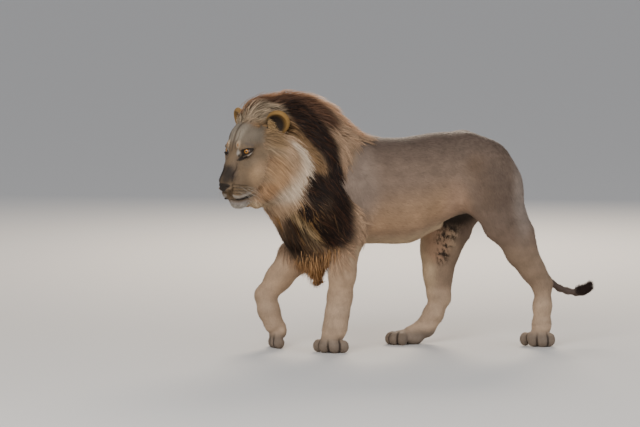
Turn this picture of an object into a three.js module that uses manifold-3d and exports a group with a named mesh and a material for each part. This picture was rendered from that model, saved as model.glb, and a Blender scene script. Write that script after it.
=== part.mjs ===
// A life-size model of a walking male African lion with a dark mane, left side along -Y, nose towards -X.
// The body is one smooth form, described by a field that is negative inside the animal. The field is built
// from round limbs, ovals and a lofted trunk, meshed, and parted by thin cuts into the pieces that a person
// would name.
import * as THREE from "three";
import { mergeVertices } from "three/addons/utils/BufferGeometryUtils.js";
import Module from "manifold-3d";

const wasm = await Module();
wasm.setup();

// ---------------------------------------------------------------- driving dimensions, in millimetres
const GAP = 0.8; // width of the thin cuts between pieces
const SMOOTH = 3; // how far the facets may lie from the finest mesh
const LEFT = -1; // side of the midline: the lion's left is -Y
const RIGHT = 1;

// The head turns to the lion's left and its own frame starts midway between the eyes.
const HEAD = { at: [-838, -130, 995], turn: THREE.MathUtils.degToRad(36) };
const EYE = { forward: -11, out: 58, up: 0, radius: 21, lids: 27.5 };
const EAR = { back: -158, out: 124, up: 135, height: 60, width: 60, depth: 30, wall: 13 };
EAR.lean = THREE.MathUtils.degToRad(24);
EAR.turn = THREE.MathUtils.degToRad(32);
const TOE = { long: 29, wide: 24, tall: 34, knuckle: 26, join: 7 };

// Trunk stations from the chest to the rump: x, top line, belly line, half width.
const TRUNK = [
  [-500, 990, 640, 120],
  [-420, 1040, 560, 158],
  [-330, 1062, 515, 178],
  [-250, 1060, 512, 182],
  [-125, 1038, 512, 184],
  [0, 1033, 508, 184],
  [75, 1041, 526, 180],
  [150, 1052, 574, 172],
  [211, 1056, 612, 163],
  [276, 1055, 640, 158],
  [351, 1041, 655, 160],
  [420, 999, 690, 150],
  [480, 932, 735, 116],
];
const TRUNK_WIDEST = 0.47; // height of the widest line, as a share of the depth
const TRUNK_SQUARENESS = 2.25;
const TRUNK_END = 95; // roundness of the two ends

// ---------------------------------------------------------------- the field's forms
// Smooth union: two forms flow into each other over the reach k.
function join(a, b, k) {
  const h = Math.max(k - Math.abs(a - b), 0) / k;
  return Math.min(a, b) - h * h * k * 0.25;
}

// Smooth difference: form b is pressed into form a.
function press(a, b, k) {
  return -join(-a, b, k);
}

// A round limb from a to b whose radius runs from ra to rb. flat is its sideways share of that radius.
function limb(a, b, ra, rb, k = 40, flat = 1) {
  const d = [b[0] - a[0], (b[1] - a[1]) / flat, b[2] - a[2]];
  const dd = d[0] * d[0] + d[1] * d[1] + d[2] * d[2];
  const distance = (x, y, z) => {
    const p = [x - a[0], (y - a[1]) / flat, z - a[2]];
    const along = (p[0] * d[0] + p[1] * d[1] + p[2] * d[2]) / dd;
    const t = Math.min(1, Math.max(0, along));
    return Math.hypot(p[0] - t * d[0], p[1] - t * d[1], p[2] - t * d[2]) - (ra + t * (rb - ra));
  };
  const middle = a.map((v, i) => (v + b[i]) / 2);
  const reach = Math.hypot(...a.map((v, i) => v - b[i])) / 2 + Math.max(ra, rb) * Math.max(1, flat);
  return { distance, k, middle, reach };
}

// An oval with three radii, which may lean: lean turns it about the sideways axis, nose down if positive.
function oval(at, radii, k = 30, lean = 0) {
  const [c, s] = [Math.cos(lean), Math.sin(lean)];
  const distance = (x, y, z) => {
    const [px, py, pz] = [x - at[0], y - at[1], z - at[2]];
    const q = [(px * c - pz * s) / radii[0], py / radii[1], (px * s + pz * c) / radii[2]];
    const near = Math.hypot(...q);
    const slope = Math.hypot(q[0] / radii[0], q[1] / radii[1], q[2] / radii[2]);
    return slope < 1e-9 ? -Math.min(...radii) : (near * (near - 1)) / slope;
  };
  return { distance, k, middle: at, reach: Math.max(...radii) };
}

// A chain of limbs through joints [x, y, z, radius].
function chain(joints, k, flat = 1) {
  return joints.slice(1).map((to, i) => {
    const from = joints[i];
    return limb(from.slice(0, 3), to.slice(0, 3), from[3], to[3], k, flat);
  });
}

// Smooth curve through the trunk's stations, for the column asked for.
function trunkValue(x, column) {
  const last = TRUNK.length - 1;
  const clamped = Math.min(Math.max(x, TRUNK[0][0]), TRUNK[last][0]);
  let i = 0;
  while (i < last - 1 && clamped > TRUNK[i + 1][0]) i += 1;
  const [p0, p1, p2, p3] = [i - 1, i, i + 1, i + 2].map((n) => TRUNK[Math.min(Math.max(n, 0), last)]);
  const t = (clamped - p1[0]) / (p2[0] - p1[0]);
  const span = p2[0] - p1[0];
  const slope = (from, to) => ((to[column] - from[column]) / (to[0] - from[0])) * span;
  const [m1, m2] = [slope(p0, p2), slope(p1, p3)];
  const [v1, v2] = [p1[column], p2[column]];
  const [t2, t3] = [t * t, t * t * t];
  return v1 * (2 * t3 - 3 * t2 + 1) + m1 * (t3 - 2 * t2 + t) + v2 * (3 * t2 - 2 * t3) + m2 * (t3 - t2);
}

function trunk(x, y, z) {
  const [top, bottom, half] = [1, 2, 3].map((column) => trunkValue(x, column));
  const widest = bottom + TRUNK_WIDEST * (top - bottom);
  const tall = z > widest ? top - widest : widest - bottom;
  const [u, v] = [Math.abs(y) / half, Math.abs(z - widest) / tall];
  const over = Math.max(TRUNK[0][0] - x, x - TRUNK[TRUNK.length - 1][0], 0) / TRUNK_END;
  const section = (u ** TRUNK_SQUARENESS + v ** TRUNK_SQUARENESS) ** (1 / TRUNK_SQUARENESS);
  const near = Math.hypot(section, over);
  const slope = Math.hypot(u / half, v / tall, over / TRUNK_END) || 1 / half;
  return near < 1e-6 ? -half : (near * (near - 1)) / slope;
}

// ---------------------------------------------------------------- legs
// Round toes at their [x, y] places on the floor, each joined to the hand by a knuckle. Their middles lie at
// height, and tall stretches them upwards.
function toes(hand, places, height, tall = 1) {
  return places.flatMap(([x, y]) => [
    limb(hand, [x, y, height * 1.15], TOE.knuckle, TOE.knuckle * 0.9, TOE.join),
    oval([x, y, height], [TOE.long, TOE.wide, TOE.tall * tall], TOE.join),
  ]);
}

const foreLeft = [
  ...chain([[-300, -120, 960, 70], [-380, -150, 780, 92], [-425, -150, 700, 92]], 60, 0.7),
  ...chain([[-430, -145, 700, 95], [-300, -150, 575, 74]], 60, 0.8),
  ...chain([[-265, -148, 790, 78], [-272, -162, 580, 58]], 50, 0.75),
  ...chain([[-303, -150, 520, 74], [-320, -140, 380, 63], [-330, -130, 270, 58]], 40, 0.86),
  ...chain([[-330, -130, 270, 58], [-342, -124, 190, 57]], 40, 0.86),
  ...chain([[-342, -124, 190, 57], [-352, -120, 120, 56], [-372, -118, 60, 52]], 30, 0.98),
  ...toes([-366, -122, 48], [[-428, -92], [-408, -134], [-364, -160], [-318, -156]], 31),
  oval([-378, -124, 44], [50, 44, 31], 14),
  oval([-350, -116, 27], [50, 50, 34], 20),
];

const foreRight = [
  ...chain([[-310, 120, 960, 70], [-400, 150, 780, 92], [-455, 150, 700, 92]], 60, 0.7),
  ...chain([[-455, 150, 700, 95], [-415, 148, 545, 78]], 60, 0.8),
  ...chain([[-330, 148, 760, 74], [-395, 152, 560, 60]], 50, 0.75),
  ...chain([[-424, 145, 520, 86], [-495, 138, 442, 82], [-578, 130, 342, 62]], 40, 0.82),
  ...chain([[-578, 130, 342, 62], [-647, 124, 258, 52]], 40, 0.82),
  ...chain([[-647, 124, 258, 54], [-632, 120, 185, 53], [-607, 117, 115, 50]], 22, 0.95),
  ...toes([-606, 116, 92], [[-600, 158], [-606, 130], [-602, 101], [-590, 74]], 26, 0.9),
  oval([-574, 116, 84], [32, 50, 44], 18),
];

const hindLeft = [
  ...chain([[398, -92, 875, 145], [436, -108, 780, 145], [490, -125, 640, 114]], 60, 0.58),
  ...chain([[502, -128, 612, 108], [551, -127, 552, 88], [581, -126, 470, 75]], 40, 0.72),
  ...chain([[581, -126, 470, 75], [632, -122, 385, 56]], 40, 0.72),
  ...chain([[632, -122, 385, 56], [680, -116, 300, 48]], 40, 0.72),
  ...chain([[640, -122, 440, 22], [715, -114, 322, 24]], 30, 0.8),
  ...chain([[696, -114, 300, 40], [690, -112, 200, 44], [687, -110, 105, 44], [680, -110, 60, 44]], 30, 0.84),
  ...toes([672, -112, 54], [[611, -84], [640, -122], [684, -142], [722, -136]], 35, 1.05),
  oval([664, -114, 50], [54, 40, 30], 14),
  oval([690, -110, 27], [46, 52, 34], 20),
];

const hindRight = [
  ...chain([[385, 92, 870, 150], [330, 112, 740, 150], [265, 128, 605, 122]], 60, 0.58),
  ...chain([[264, 130, 560, 124], [238, 130, 490, 100], [228, 128, 440, 86], [216, 122, 350, 68]], 40, 0.72),
  ...chain([[216, 122, 350, 68], [213, 116, 255, 58]], 40, 0.72),
  ...chain([[272, 124, 400, 24], [256, 114, 222, 26]], 30, 0.8),
  ...chain([[226, 114, 215, 50], [192, 112, 142, 48], [154, 110, 80, 46], [80, 110, 50, 42]], 30, 0.84),
  ...toes([52, 110, 46], [[-4, 148], [-21, 117], [-8, 87], [26, 68]], 29),
  oval([34, 110, 40], [46, 46, 28], 14),
  oval([92, 110, 27], [50, 52, 34], 20),
];

// ---------------------------------------------------------------- trunk's own muscles, neck and tail
const muscles = [
  ...chain([[-640, -18, 1010, 125], [-480, -5, 930, 150], [-330, 0, 880, 170]], 70, 0.85),
  ...chain([[-500, 0, 740, 115], [-360, 0, 700, 150]], 60, 0.9),
  ...[LEFT, RIGHT].flatMap((side) => chain([[330, side * 70, 985, 66], [415, side * 78, 925, 76]], 60, 0.8)),
  limb([300, 0, 990], [470, 0, 892], 54, 44, 40),
  ...[LEFT, RIGHT].map((side) => oval([505, side * 26, 668, 0], [34, 27, 32], 14)),
  limb([40, 0, 548], [190, 0, 598], 30, 24, 30),
];

const TAIL_JOIN = 16;
const tail = [
  ...chain([[492, 0, 892, 44], [545, 0, 835, 34], [580, 2, 750, 27], [602, 2, 640, 23]], TAIL_JOIN),
  ...chain([[602, 2, 640, 23], [636, 0, 515, 20], [675, 0, 425, 19], [705, 0, 370, 18]], TAIL_JOIN),
  ...chain([[705, 0, 370, 18], [735, 0, 328, 18], [767, 0, 296, 18], [805, 0, 271, 18]], TAIL_JOIN),
  ...chain([[805, 0, 271, 18], [845, 0, 256, 18], [890, 0, 247, 18], [920, 0, 249, 19]], TAIL_JOIN),
];
const tailTuft = chain([[920, 0, 249, 21], [946, 0, 261, 23], [962, 0, 288, 17], [966, 0, 306, 8]], 10);

// ---------------------------------------------------------------- mane, out to the tips of its hair
const mane = [
  ...chain([[-703, -42, 1127, 118], [-600, -18, 1119, 134], [-500, 0, 1100, 144]], 40, 0.7),
  ...chain([[-500, 0, 1090, 148], [-430, 0, 1062, 152], [-330, 0, 1000, 132]], 50, 0.8),
  ...chain([[-600, -14, 960, 178], [-430, 0, 925, 212]], 60, 0.98),
  ...chain([[-530, -10, 830, 196], [-430, 0, 720, 195], [-415, 0, 610, 166]], 70, 1.06),
  ...chain([[-466, 0, 606, 134], [-446, 0, 505, 84], [-424, 0, 412, 44], [-412, 0, 350, 14]], 40),
];

// ---------------------------------------------------------------- head, in its own frame: forward, left, up
const both = (make) => [LEFT, RIGHT].flatMap((side) => make(-side));
const skull = [
  oval([-112, 0, 42], [132, 104, 108], 30),
  ...both((l) => limb([0, l * 34, 24], [-20, l * 62, 18], 24, 18, 22)),
  ...chain([[-12, 0, 14, 44], [22, 0, -72, 42], [72, 0, -140, 40]], 26, 0.98),
  ...both((l) => limb([-24, l * 60, -58], [-120, l * 104, -20], 26, 42, 30)),
  ...both((l) => oval([-96, l * 78, -92], [82, 50, 92], 30)),
  ...both((l) => limb([-24, l * 40, -96], [22, l * 26, -172], 46, 36, 26)),
  ...both((l) => oval([-45, l * 50, -152], [50, 36, 52], 24)),
  ...both((l) => oval([3, l * 33, -200], [61, 33, 42], 14)),
  ...both((l) => oval([EYE.forward, l * EYE.out, EYE.up], [EYE.lids, EYE.lids, EYE.lids], 9)),
  ...both((l) => chain([[22, l * 42, 10, 8], [4, l * 63, 19, 8], [-24, l * 80, 12, 8]], 10)),
];
const jaw = [
  ...both((l) => chain([[58, l * 3, -229, 4], [54, l * 24, -233, 5], [36, l * 48, -235, 6]], 4)),
  ...both((l) => chain([[36, l * 48, -235, 6], [-10, l * 65, -223, 7], [-50, l * 77, -206, 8]], 4)),
  oval([-5, 0, -241], [46, 38, 33], 12),
  ...both((l) => limb([-10, l * 10, -234], [-130, l * 52, -168], 32, 46, 20)),
];
const nosePad = oval([83, 0, -169], [23, 39, 24], 8, -0.3);
const nostrils = both((l) =>
  chain([[107, l * 12, -175, 7], [101, l * 24, -169, 6], [87, l * 38, -170, 4]], 5),
);
const eyeOpenings = both((l) =>
  chain([[27, l * 44, -19, 6], [18, l * 58, -6, 11], [6, l * 74, 2, 10], [-18, l * 88, 8, 6]], 6),
);
const lipLine = both((l) => chain([[70, l * 2, -231, 4], [38, l * 48, -238, 4], [-40, l * 76, -210, 4]], 5));
const ruff = both((l) => [
  limb([-150, l * 108, 50], [-185, l * 122, -40], 52, 82, 40),
  limb([-185, l * 122, -40], [-150, l * 104, -150], 82, 74, 40),
  limb([-150, l * 104, -150], [-92, l * 40, -232], 74, 48, 40),
]);

// One ear: a round cup that opens forwards and outwards, in the head's frame.
function earFrame(l) {
  return new THREE.Matrix4()
    .makeTranslation(EAR.back, l * EAR.out, EAR.up)
    .multiply(new THREE.Matrix4().makeRotationX(-l * EAR.lean))
    .multiply(new THREE.Matrix4().makeRotationZ(l * EAR.turn));
}
const ears = both((l) => {
  const frame = earFrame(l).invert();
  const point = new THREE.Vector3();
  const outer = oval([0, 0, 0], [EAR.depth, EAR.width, EAR.height], 10);
  const inner = oval([EAR.depth * 0.8, 0, -4], [EAR.depth, EAR.width - EAR.wall, EAR.height - EAR.wall], 8);
  const root = limb([-8, 0, -28], [-14, 0, -74], 38, 48, 20);
  const distance = (x, y, z) => {
    point.set(x, y, z).applyMatrix4(frame);
    const { x: f, y: w, z: u } = point;
    const shell = join(outer.distance(f, w, u), root.distance(f, w, u), root.k);
    return press(shell, inner.distance(f, w, u), inner.k);
  };
  return { distance, k: 12, middle: [EAR.back, l * EAR.out, EAR.up], reach: 110 };
});

// ---------------------------------------------------------------- the whole field
const headCos = Math.cos(HEAD.turn);
const headSin = Math.sin(HEAD.turn);
function toHead(x, y, z) {
  const [dx, dy] = [x - HEAD.at[0], y - HEAD.at[1]];
  return [-dx * headCos - dy * headSin, dx * headSin - dy * headCos, z - HEAD.at[2]];
}
const HEAD_REACH = 460; // no form of the head lies further from the point between the eyes
const headFrame = new THREE.Matrix4().makeBasis(
  new THREE.Vector3(-headCos, -headSin, 0),
  new THREE.Vector3(headSin, -headCos, 0),
  new THREE.Vector3(0, 0, 1),
).setPosition(...HEAD.at);

// Folds forms into a running distance, leaving out those too far away to matter.
function fold(start, forms, x, y, z) {
  return forms.reduce((sum, form) => {
    const [mx, my, mz] = form.middle;
    const away = Math.hypot(x - mx, y - my, z - mz) - form.reach;
    return away > sum + form.k ? sum : join(sum, form.distance(x, y, z), form.k);
  }, start);
}

const legs = [...foreLeft, ...foreRight, ...hindLeft, ...hindRight];
const bodyForms = [...muscles, ...legs, ...tail, ...tailTuft, ...mane];
function field(x, y, z) {
  let d = fold(trunk(x, y, z), bodyForms, x, y, z);
  const [f, l, u] = toHead(x, y, z);
  if (Math.hypot(f, l, u) < HEAD_REACH) {
    d = fold(d, [...skull, ...ruff], f, l, u);
    d = eyeOpenings.reduce((sum, form) => press(sum, form.distance(f, l, u), form.k), d);
    d = fold(d, jaw, f, l, u);
    d = lipLine.reduce((sum, form) => press(sum, form.distance(f, l, u), form.k), d);
    d = fold(d, [nosePad], f, l, u);
    d = nostrils.reduce((sum, form) => press(sum, form.distance(f, l, u), form.k), d);
    d = fold(d, ears, f, l, u);
  }
  return d;
}

// ---------------------------------------------------------------- meshing: one vertex per crossed cell
const OUTSIDE = 0.1; // the least value on the faces of a mesh's box, so that every mesh is closed
const INSIDE = -1; // value given to a grid point that is taken in
function surface(low, high, cell) {
  const n = low.map((v, i) => Math.ceil((high[i] - v) / cell[i]) + 1);
  const id = (i, j, k) => (i * n[1] + j) * n[2] + k;
  const value = new Float32Array(n[0] * n[1] * n[2]);
  for (let i = 0; i < n[0]; i += 1)
    for (let j = 0; j < n[1]; j += 1)
      for (let k = 0; k < n[2]; k += 1) {
        const edge = [i, j, k].some((v, m) => v === 0 || v === n[m] - 1);
        const d = field(low[0] + i * cell[0], low[1] + j * cell[1], low[2] + k * cell[2]);
        value[id(i, j, k)] = edge ? Math.max(d, OUTSIDE) : d;
      }
  mend(value, n, id);
  const vertex = new Map();
  const points = [];
  const corners = [0, 1].flatMap((a) => [0, 1].flatMap((b) => [0, 1].map((c) => [a, b, c])));
  const vertexOf = (i, j, k) => {
    const key = id(i, j, k);
    if (vertex.has(key)) return vertex.get(key);
    const sum = [0, 0, 0];
    let count = 0;
    for (const a of corners)
      for (let axis = 0; axis < 3; axis += 1) {
        if (a[axis]) continue;
        const b = a.map((v, m) => (m === axis ? 1 : v));
        const [va, vb] = [a, b].map((c) => value[id(i + c[0], j + c[1], k + c[2])]);
        if (va < 0 === vb < 0) continue;
        const t = va / (va - vb);
        [i, j, k].forEach((v, m) => (sum[m] += v + a[m] + (m === axis ? t : 0)));
        count += 1;
      }
    let p = sum.map((v, m) => low[m] + (v / count) * cell[m]);
    if ([i, j, k].every((v, m) => v > 0 && v < n[m] - 2)) p = settle(p, Math.min(...cell));
    points.push(...p);
    vertex.set(key, points.length / 3 - 1);
    return points.length / 3 - 1;
  };
  const faces = [];
  const ahead = [[1, 0, 0], [0, 1, 0], [0, 0, 1]];
  for (let i = 0; i < n[0] - 1; i += 1)
    for (let j = 0; j < n[1] - 1; j += 1)
      for (let k = 0; k < n[2] - 1; k += 1) {
        const here = value[id(i, j, k)] < 0;
        const at = [i, j, k];
        ahead.forEach((step, axis) => {
          if (at[(axis + 1) % 3] === 0 || at[(axis + 2) % 3] === 0) return;
          const there = value[id(i + step[0], j + step[1], k + step[2])] < 0;
          if (here === there) return;
          const u = ahead[(axis + 1) % 3];
          const v = ahead[(axis + 2) % 3];
          const q = [[0, 0], [1, 0], [1, 1], [0, 1]].map(([a, b]) =>
            vertexOf(i - a * u[0] - b * v[0], j - a * u[1] - b * v[1], k - a * u[2] - b * v[2]),
          );
          if (!here) q.reverse();
          faces.push(q[0], q[1], q[2], q[0], q[2], q[3]);
        });
      }
  return solidFrom(new Float32Array(points), new Uint32Array(faces)).simplify(SMOOTH);
}

// Where only two opposite corners of a grid square are inside, a third is taken in, so that no edge is
// shared twice.
const SQUARES = [[[1, 0, 0], [0, 1, 0]], [[0, 1, 0], [0, 0, 1]], [[0, 0, 1], [1, 0, 0]]];
function mend(value, n, id) {
  let again = true;
  while (again) {
    again = false;
    for (let i = 1; i < n[0] - 2; i += 1)
      for (let j = 1; j < n[1] - 2; j += 1)
        for (let k = 1; k < n[2] - 2; k += 1)
          for (const [u, v] of SQUARES) {
            const q = [[0, 0], [1, 0], [1, 1], [0, 1]].map(([a, b]) =>
              id(i + a * u[0] + b * v[0], j + a * u[1] + b * v[1], k + a * u[2] + b * v[2]),
            );
            const inside = q.map((at) => value[at] < 0);
            if (inside[0] !== inside[2] || inside[1] !== inside[3] || inside[0] === inside[1]) continue;
            const odd = inside[0] ? [q[1], q[3]] : [q[0], q[2]];
            value[value[odd[0]] < value[odd[1]] ? odd[0] : odd[1]] = INSIDE;
            again = true;
          }
  }
}

// Moves a point onto the field's zero, unless that lies further off than most of a cell.
const SETTLE = { step: 2, passes: 2, flattest: 0.04, furthest: 0.6 };
function settle(p, cell) {
  let at = [...p];
  for (let pass = 0; pass < SETTLE.passes; pass += 1) {
    const d = field(...at);
    const g = [0, 1, 2].map((m) => {
      const ahead = at.map((v, n) => (n === m ? v + SETTLE.step : v));
      return (field(...ahead) - d) / SETTLE.step;
    });
    const gg = g[0] * g[0] + g[1] * g[1] + g[2] * g[2];
    if (gg < SETTLE.flattest) break;
    at = at.map((v, m) => v - (d * g[m]) / gg);
  }
  const moved = Math.hypot(...at.map((v, m) => v - p[m]));
  return moved > cell * SETTLE.furthest ? p : at;
}

function solidFrom(vertProperties, triVerts) {
  return new wasm.Manifold(new wasm.Mesh({ numProp: 3, vertProperties, triVerts }));
}

const SAME_POINT = 1e-4;
// A three.js geometry as a solid, placed by a matrix.
function solidOf(geometry, matrix = new THREE.Matrix4()) {
  const bare = geometry.clone().applyMatrix4(matrix);
  bare.deleteAttribute("normal");
  bare.deleteAttribute("uv");
  const merged = mergeVertices(bare, SAME_POINT);
  return solidFrom(merged.attributes.position.array, new Uint32Array(merged.index.array));
}

function geometryOf(solid) {
  const mesh = solid.getMesh();
  const positions = new Float32Array(mesh.numVert * 3);
  for (let i = 0; i < mesh.numVert; i += 1)
    positions.set(mesh.vertProperties.subarray(i * mesh.numProp, i * mesh.numProp + 3), i * 3);
  return new THREE.BufferGeometry()
    .setAttribute("position", new THREE.BufferAttribute(positions, 3))
    .setIndex(new THREE.BufferAttribute(new Uint32Array(mesh.triVerts), 1));
}

// ---------------------------------------------------------------- where the cuts run
// A room is a box that holds one piece. low and high are its corners, in the frame given, leaning by lean
// about the sideways axis through its middle.
function room(low, high, lean = 0, frame = new THREE.Matrix4()) {
  const middle = low.map((v, i) => (v + high[i]) / 2);
  const size = low.map((v, i) => high[i] - v);
  const matrix = frame
    .clone()
    .multiply(new THREE.Matrix4().makeTranslation(...middle))
    .multiply(new THREE.Matrix4().makeRotationY(THREE.MathUtils.degToRad(lean)));
  return { matrix, size, round: false };
}
const roundRoom = (radii, frame) => ({ matrix: frame, size: radii.map((v) => v * 2), round: true });

const BALL = { around: 12, down: 8 }; // facets of round cuts and eyes
function roomSolid({ matrix, size, round }, grow = 0) {
  const grown = size.map((v) => v + 2 * grow);
  if (!round) return solidOf(new THREE.BoxGeometry(...grown), matrix);
  return solidOf(new THREE.SphereGeometry(0.5, BALL.around, BALL.down).scale(...grown), matrix);
}

// True when each edge, to a hundredth of a millimetre, is shared by exactly two triangles.
const HUNDREDTHS = 100;
function sound(solid) {
  const { vertProperties: at, triVerts, numProp } = solid.getMesh();
  const key = (i) => [0, 1, 2].map((m) => Math.round(at[i * numProp + m] * HUNDREDTHS)).join();
  const edges = new Map();
  for (let i = 0; i < triVerts.length; i += 3) {
    const k = [0, 1, 2].map((m) => key(triVerts[i + m]));
    if (new Set(k).size < 3) continue;
    k.forEach((from, m) => {
      const edge = [from, k[(m + 1) % 3]].sort().join("|");
      edges.set(edge, (edges.get(edge) || 0) + 1);
    });
  }
  return [...edges.values()].every((count) => count === 2);
}

const earRoom = (l) => roundRoom([46, 74, 76], headFrame.clone().multiply(earFrame(l)));
const inHead = (low, high, lean = 0) => room(low, high, lean, headFrame);
const COAT = { color: 0xb08f68, roughness: 0.85, metalness: 0 };
const PALE = { color: 0xd9c4a0, roughness: 0.85, metalness: 0 };
const DARK = { color: 0x3a281c, roughness: 0.8, metalness: 0 };
const NOSE = { color: 0x2a2220, roughness: 0.5, metalness: 0 };
const IRIS = { color: 0xb8842c, roughness: 0.1, metalness: 0 };

// Pieces in the order in which they are cut: name, room, size of the mesh's cells, finish.
const PIECES = [
  ["ear_left", earRoom(1), [23, 23, 23], COAT],
  ["ear_right", earRoom(-1), [23, 23, 23], COAT],
  ["nose_pad", inHead([58, -46, -202], [130, 46, -148]), [15, 15, 15], NOSE],
  ["eyelids_left", inHead([-40, 26, -40], [70, 106, 32]), [17, 17, 17], COAT],
  ["eyelids_right", inHead([-40, -106, -40], [70, -26, 32]), [17, 17, 17], COAT],
  ["lower_jaw", inHead([-70, -120, -330], [140, 120, -232]), [24, 24, 24], PALE],
  ["muzzle", inHead([-60, -120, -232], [140, 120, -100]), [25, 25, 25], COAT],
  ["head", inHead([-110, -130, -300], [150, 130, 205]), [42, 42, 42], COAT],
  ["cheek_left", inHead([-170, 100, -240], [0, 260, 95]), [44, 44, 44], COAT],
  ["cheek_right", inHead([-170, -260, -240], [0, -100, 95]), [44, 44, 44], COAT],
  ["fore_left_paw", room([-500, -230, -20], [-240, -10, 92]), [24, 19, 23], COAT],
  ["fore_left_forearm", room([-470, -260, 92], [-190, -52, 470]), [38, 36, 60], COAT],
  ["fore_right_paw", room([-720, 20, -20], [-480, 230, 150]), [22, 19, 26], COAT],
  ["fore_right_forearm", room([-760, 50, 150], [-330, 260, 460]), [36, 36, 46], COAT],
  ["hind_left_paw", room([540, -230, -20], [800, -12, 92]), [24, 19, 23], COAT],
  ["hind_left_shank", room([440, -260, 92], [800, -40, 480]), [36, 34, 52], COAT],
  ["hind_left_thigh", room([340, -300, 480], [740, -36, 700]), [54, 50, 58], COAT],
  ["hind_right_paw", room([-100, 12, -20], [150, 230, 84]), [24, 19, 23], COAT],
  ["hind_right_shank", room([-60, 40, 84], [420, 260, 470]), [36, 34, 52], COAT],
  ["hind_right_thigh", room([80, 36, 470], [460, 300, 640]), [54, 50, 58], COAT],
  ["tail_tuft", room([914, -60, 150], [1060, 60, 360]), [18, 18, 18], DARK],
  ["tail_end", room([640, -36, 150], [914, 60, 430]), [24, 15, 17], COAT],
  ["tail_middle", room([540, -36, 430], [800, 60, 690]), [19, 18, 44], COAT],
  ["tail_root", room([545, -60, 690], [760, 60, 850]), [24, 24, 40], COAT],
  ["hindquarters", room([300, -320, 400], [760, 320, 1150]), [74, 62, 68], COAT],
  ["loin", room([60, -320, 400], [300, 320, 1150]), [84, 60, 64], COAT],
  ["ribcage", room([-215, -320, 380], [60, 320, 1180]), [92, 60, 64], COAT],
  ["shoulder_left", room([-470, -330, 440], [-215, -135, 950]), [60, 58, 64], COAT],
  ["shoulder_right", room([-520, 135, 440], [-215, 330, 950]), [60, 58, 64], COAT],
  ["mane_tip", room([-560, -110, 340], [-320, 110, 520]), [38, 38, 42], DARK],
  ["chest_mane", room([-760, -330, 340], [-215, 330, 760]), [72, 68, 68], DARK],
  ["neck_mane", room([-1050, -400, 700], [-215, 400, 1350]), [82, 72, 72], DARK],
];

// ---------------------------------------------------------------- assembly
const bodyBox = { low: [-1060, -420, -60], high: [1060, 420, 1380] };
const floor = room([-1300, -600, 0], [1300, 600, 1500]);
const lion = new THREE.Group();

function addPiece(name, solid, finish) {
  const mesh = new THREE.Mesh(geometryOf(solid), new THREE.MeshStandardMaterial(finish));
  mesh.name = name;
  lion.add(mesh);
}

// The box, square to the axes, that a room fills, with a margin, inside the whole model's box.
function reachOf({ matrix, size }, margin) {
  const box = new THREE.Box3().setFromCenterAndSize(new THREE.Vector3(), new THREE.Vector3(...size));
  box.applyMatrix4(matrix).expandByScalar(margin);
  const low = box.min.toArray().map((v, i) => Math.max(v, bodyBox.low[i]));
  const high = box.max.toArray().map((v, i) => Math.min(v, bodyBox.high[i]));
  return [low, high];
}

const eyes = both((l) => {
  const centre = new THREE.Vector3(EYE.forward, l * EYE.out, EYE.up).applyMatrix4(headFrame);
  return { name: l > 0 ? "eye_left" : "eye_right", centre };
});
function eyeBall(eye, grow) {
  const sphere = new THREE.SphereGeometry(EYE.radius + grow, BALL.around, BALL.down);
  return solidOf(sphere, new THREE.Matrix4().setPosition(eye.centre));
}

const FINISHING = [0.15, 0.08, 0.25, 0.04, 0.35]; // how far facets may move in the last clean-up, best first
const taken = [];
for (const [name, place, cell, finish] of PIECES) {
  const filled = surface(...reachOf(place, Math.max(...cell) * 2), cell);
  let solid = filled.intersect(roomSolid(place)).intersect(roomSolid(floor));
  for (const other of taken) solid = solid.subtract(roomSolid(other, GAP));
  if (name === "head" || name.startsWith("eyelids"))
    for (const eye of eyes) solid = solid.subtract(eyeBall(eye, GAP / 2));
  const parts = solid.decompose().sort((a, b) => b.volume() - a.volume());
  const chosen = FINISHING.map((tolerance) => parts[0].simplify(tolerance)).find(sound);
  if (!chosen) throw new Error(`${name} has an edge shared by more than two faces`);
  addPiece(name, chosen, finish);
  taken.push(place);
}
for (const eye of eyes) addPiece(eye.name, eyeBall(eye, 0), IRIS);

// The model's origin is on the floor, under the middle of its box.
const whole = new THREE.Box3().setFromObject(lion);
lion.position.set(-(whole.min.x + whole.max.x) / 2, -(whole.min.y + whole.max.y) / 2, -whole.min.z);

export default lion;
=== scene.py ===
"""A life-size lion that walks with its head low and turned to its left: its skin, coat and eyes."""

import math

import bmesh
import bpy
import numpy as np
from mathutils import Matrix, Vector


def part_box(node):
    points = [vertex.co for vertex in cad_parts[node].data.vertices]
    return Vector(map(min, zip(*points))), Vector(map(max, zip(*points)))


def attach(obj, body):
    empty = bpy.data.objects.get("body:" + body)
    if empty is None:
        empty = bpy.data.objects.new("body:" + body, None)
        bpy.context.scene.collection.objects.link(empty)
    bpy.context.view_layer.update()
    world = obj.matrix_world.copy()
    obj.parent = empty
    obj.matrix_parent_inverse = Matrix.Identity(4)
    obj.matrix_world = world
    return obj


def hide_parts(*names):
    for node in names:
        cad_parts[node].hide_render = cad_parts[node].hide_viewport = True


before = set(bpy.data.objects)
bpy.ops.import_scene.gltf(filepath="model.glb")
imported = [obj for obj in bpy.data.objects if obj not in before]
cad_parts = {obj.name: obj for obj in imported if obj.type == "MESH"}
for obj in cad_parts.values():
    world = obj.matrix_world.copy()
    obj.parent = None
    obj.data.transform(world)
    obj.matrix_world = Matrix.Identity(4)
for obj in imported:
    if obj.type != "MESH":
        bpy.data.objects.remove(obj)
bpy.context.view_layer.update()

# ---------------------------------------------------------------- camera and floor
# The lion is drawn in millimetres: nose towards -X, its left side along -Y, and the floor at z = 0. The place
# of its left eye ties that drawing to the frame. It stands on a pale floor in soft studio light.
MM = 0.001
HEAD_AT = np.array([-838.0, -130.0, 995.0])
HEAD_TURN = math.radians(36)
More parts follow.
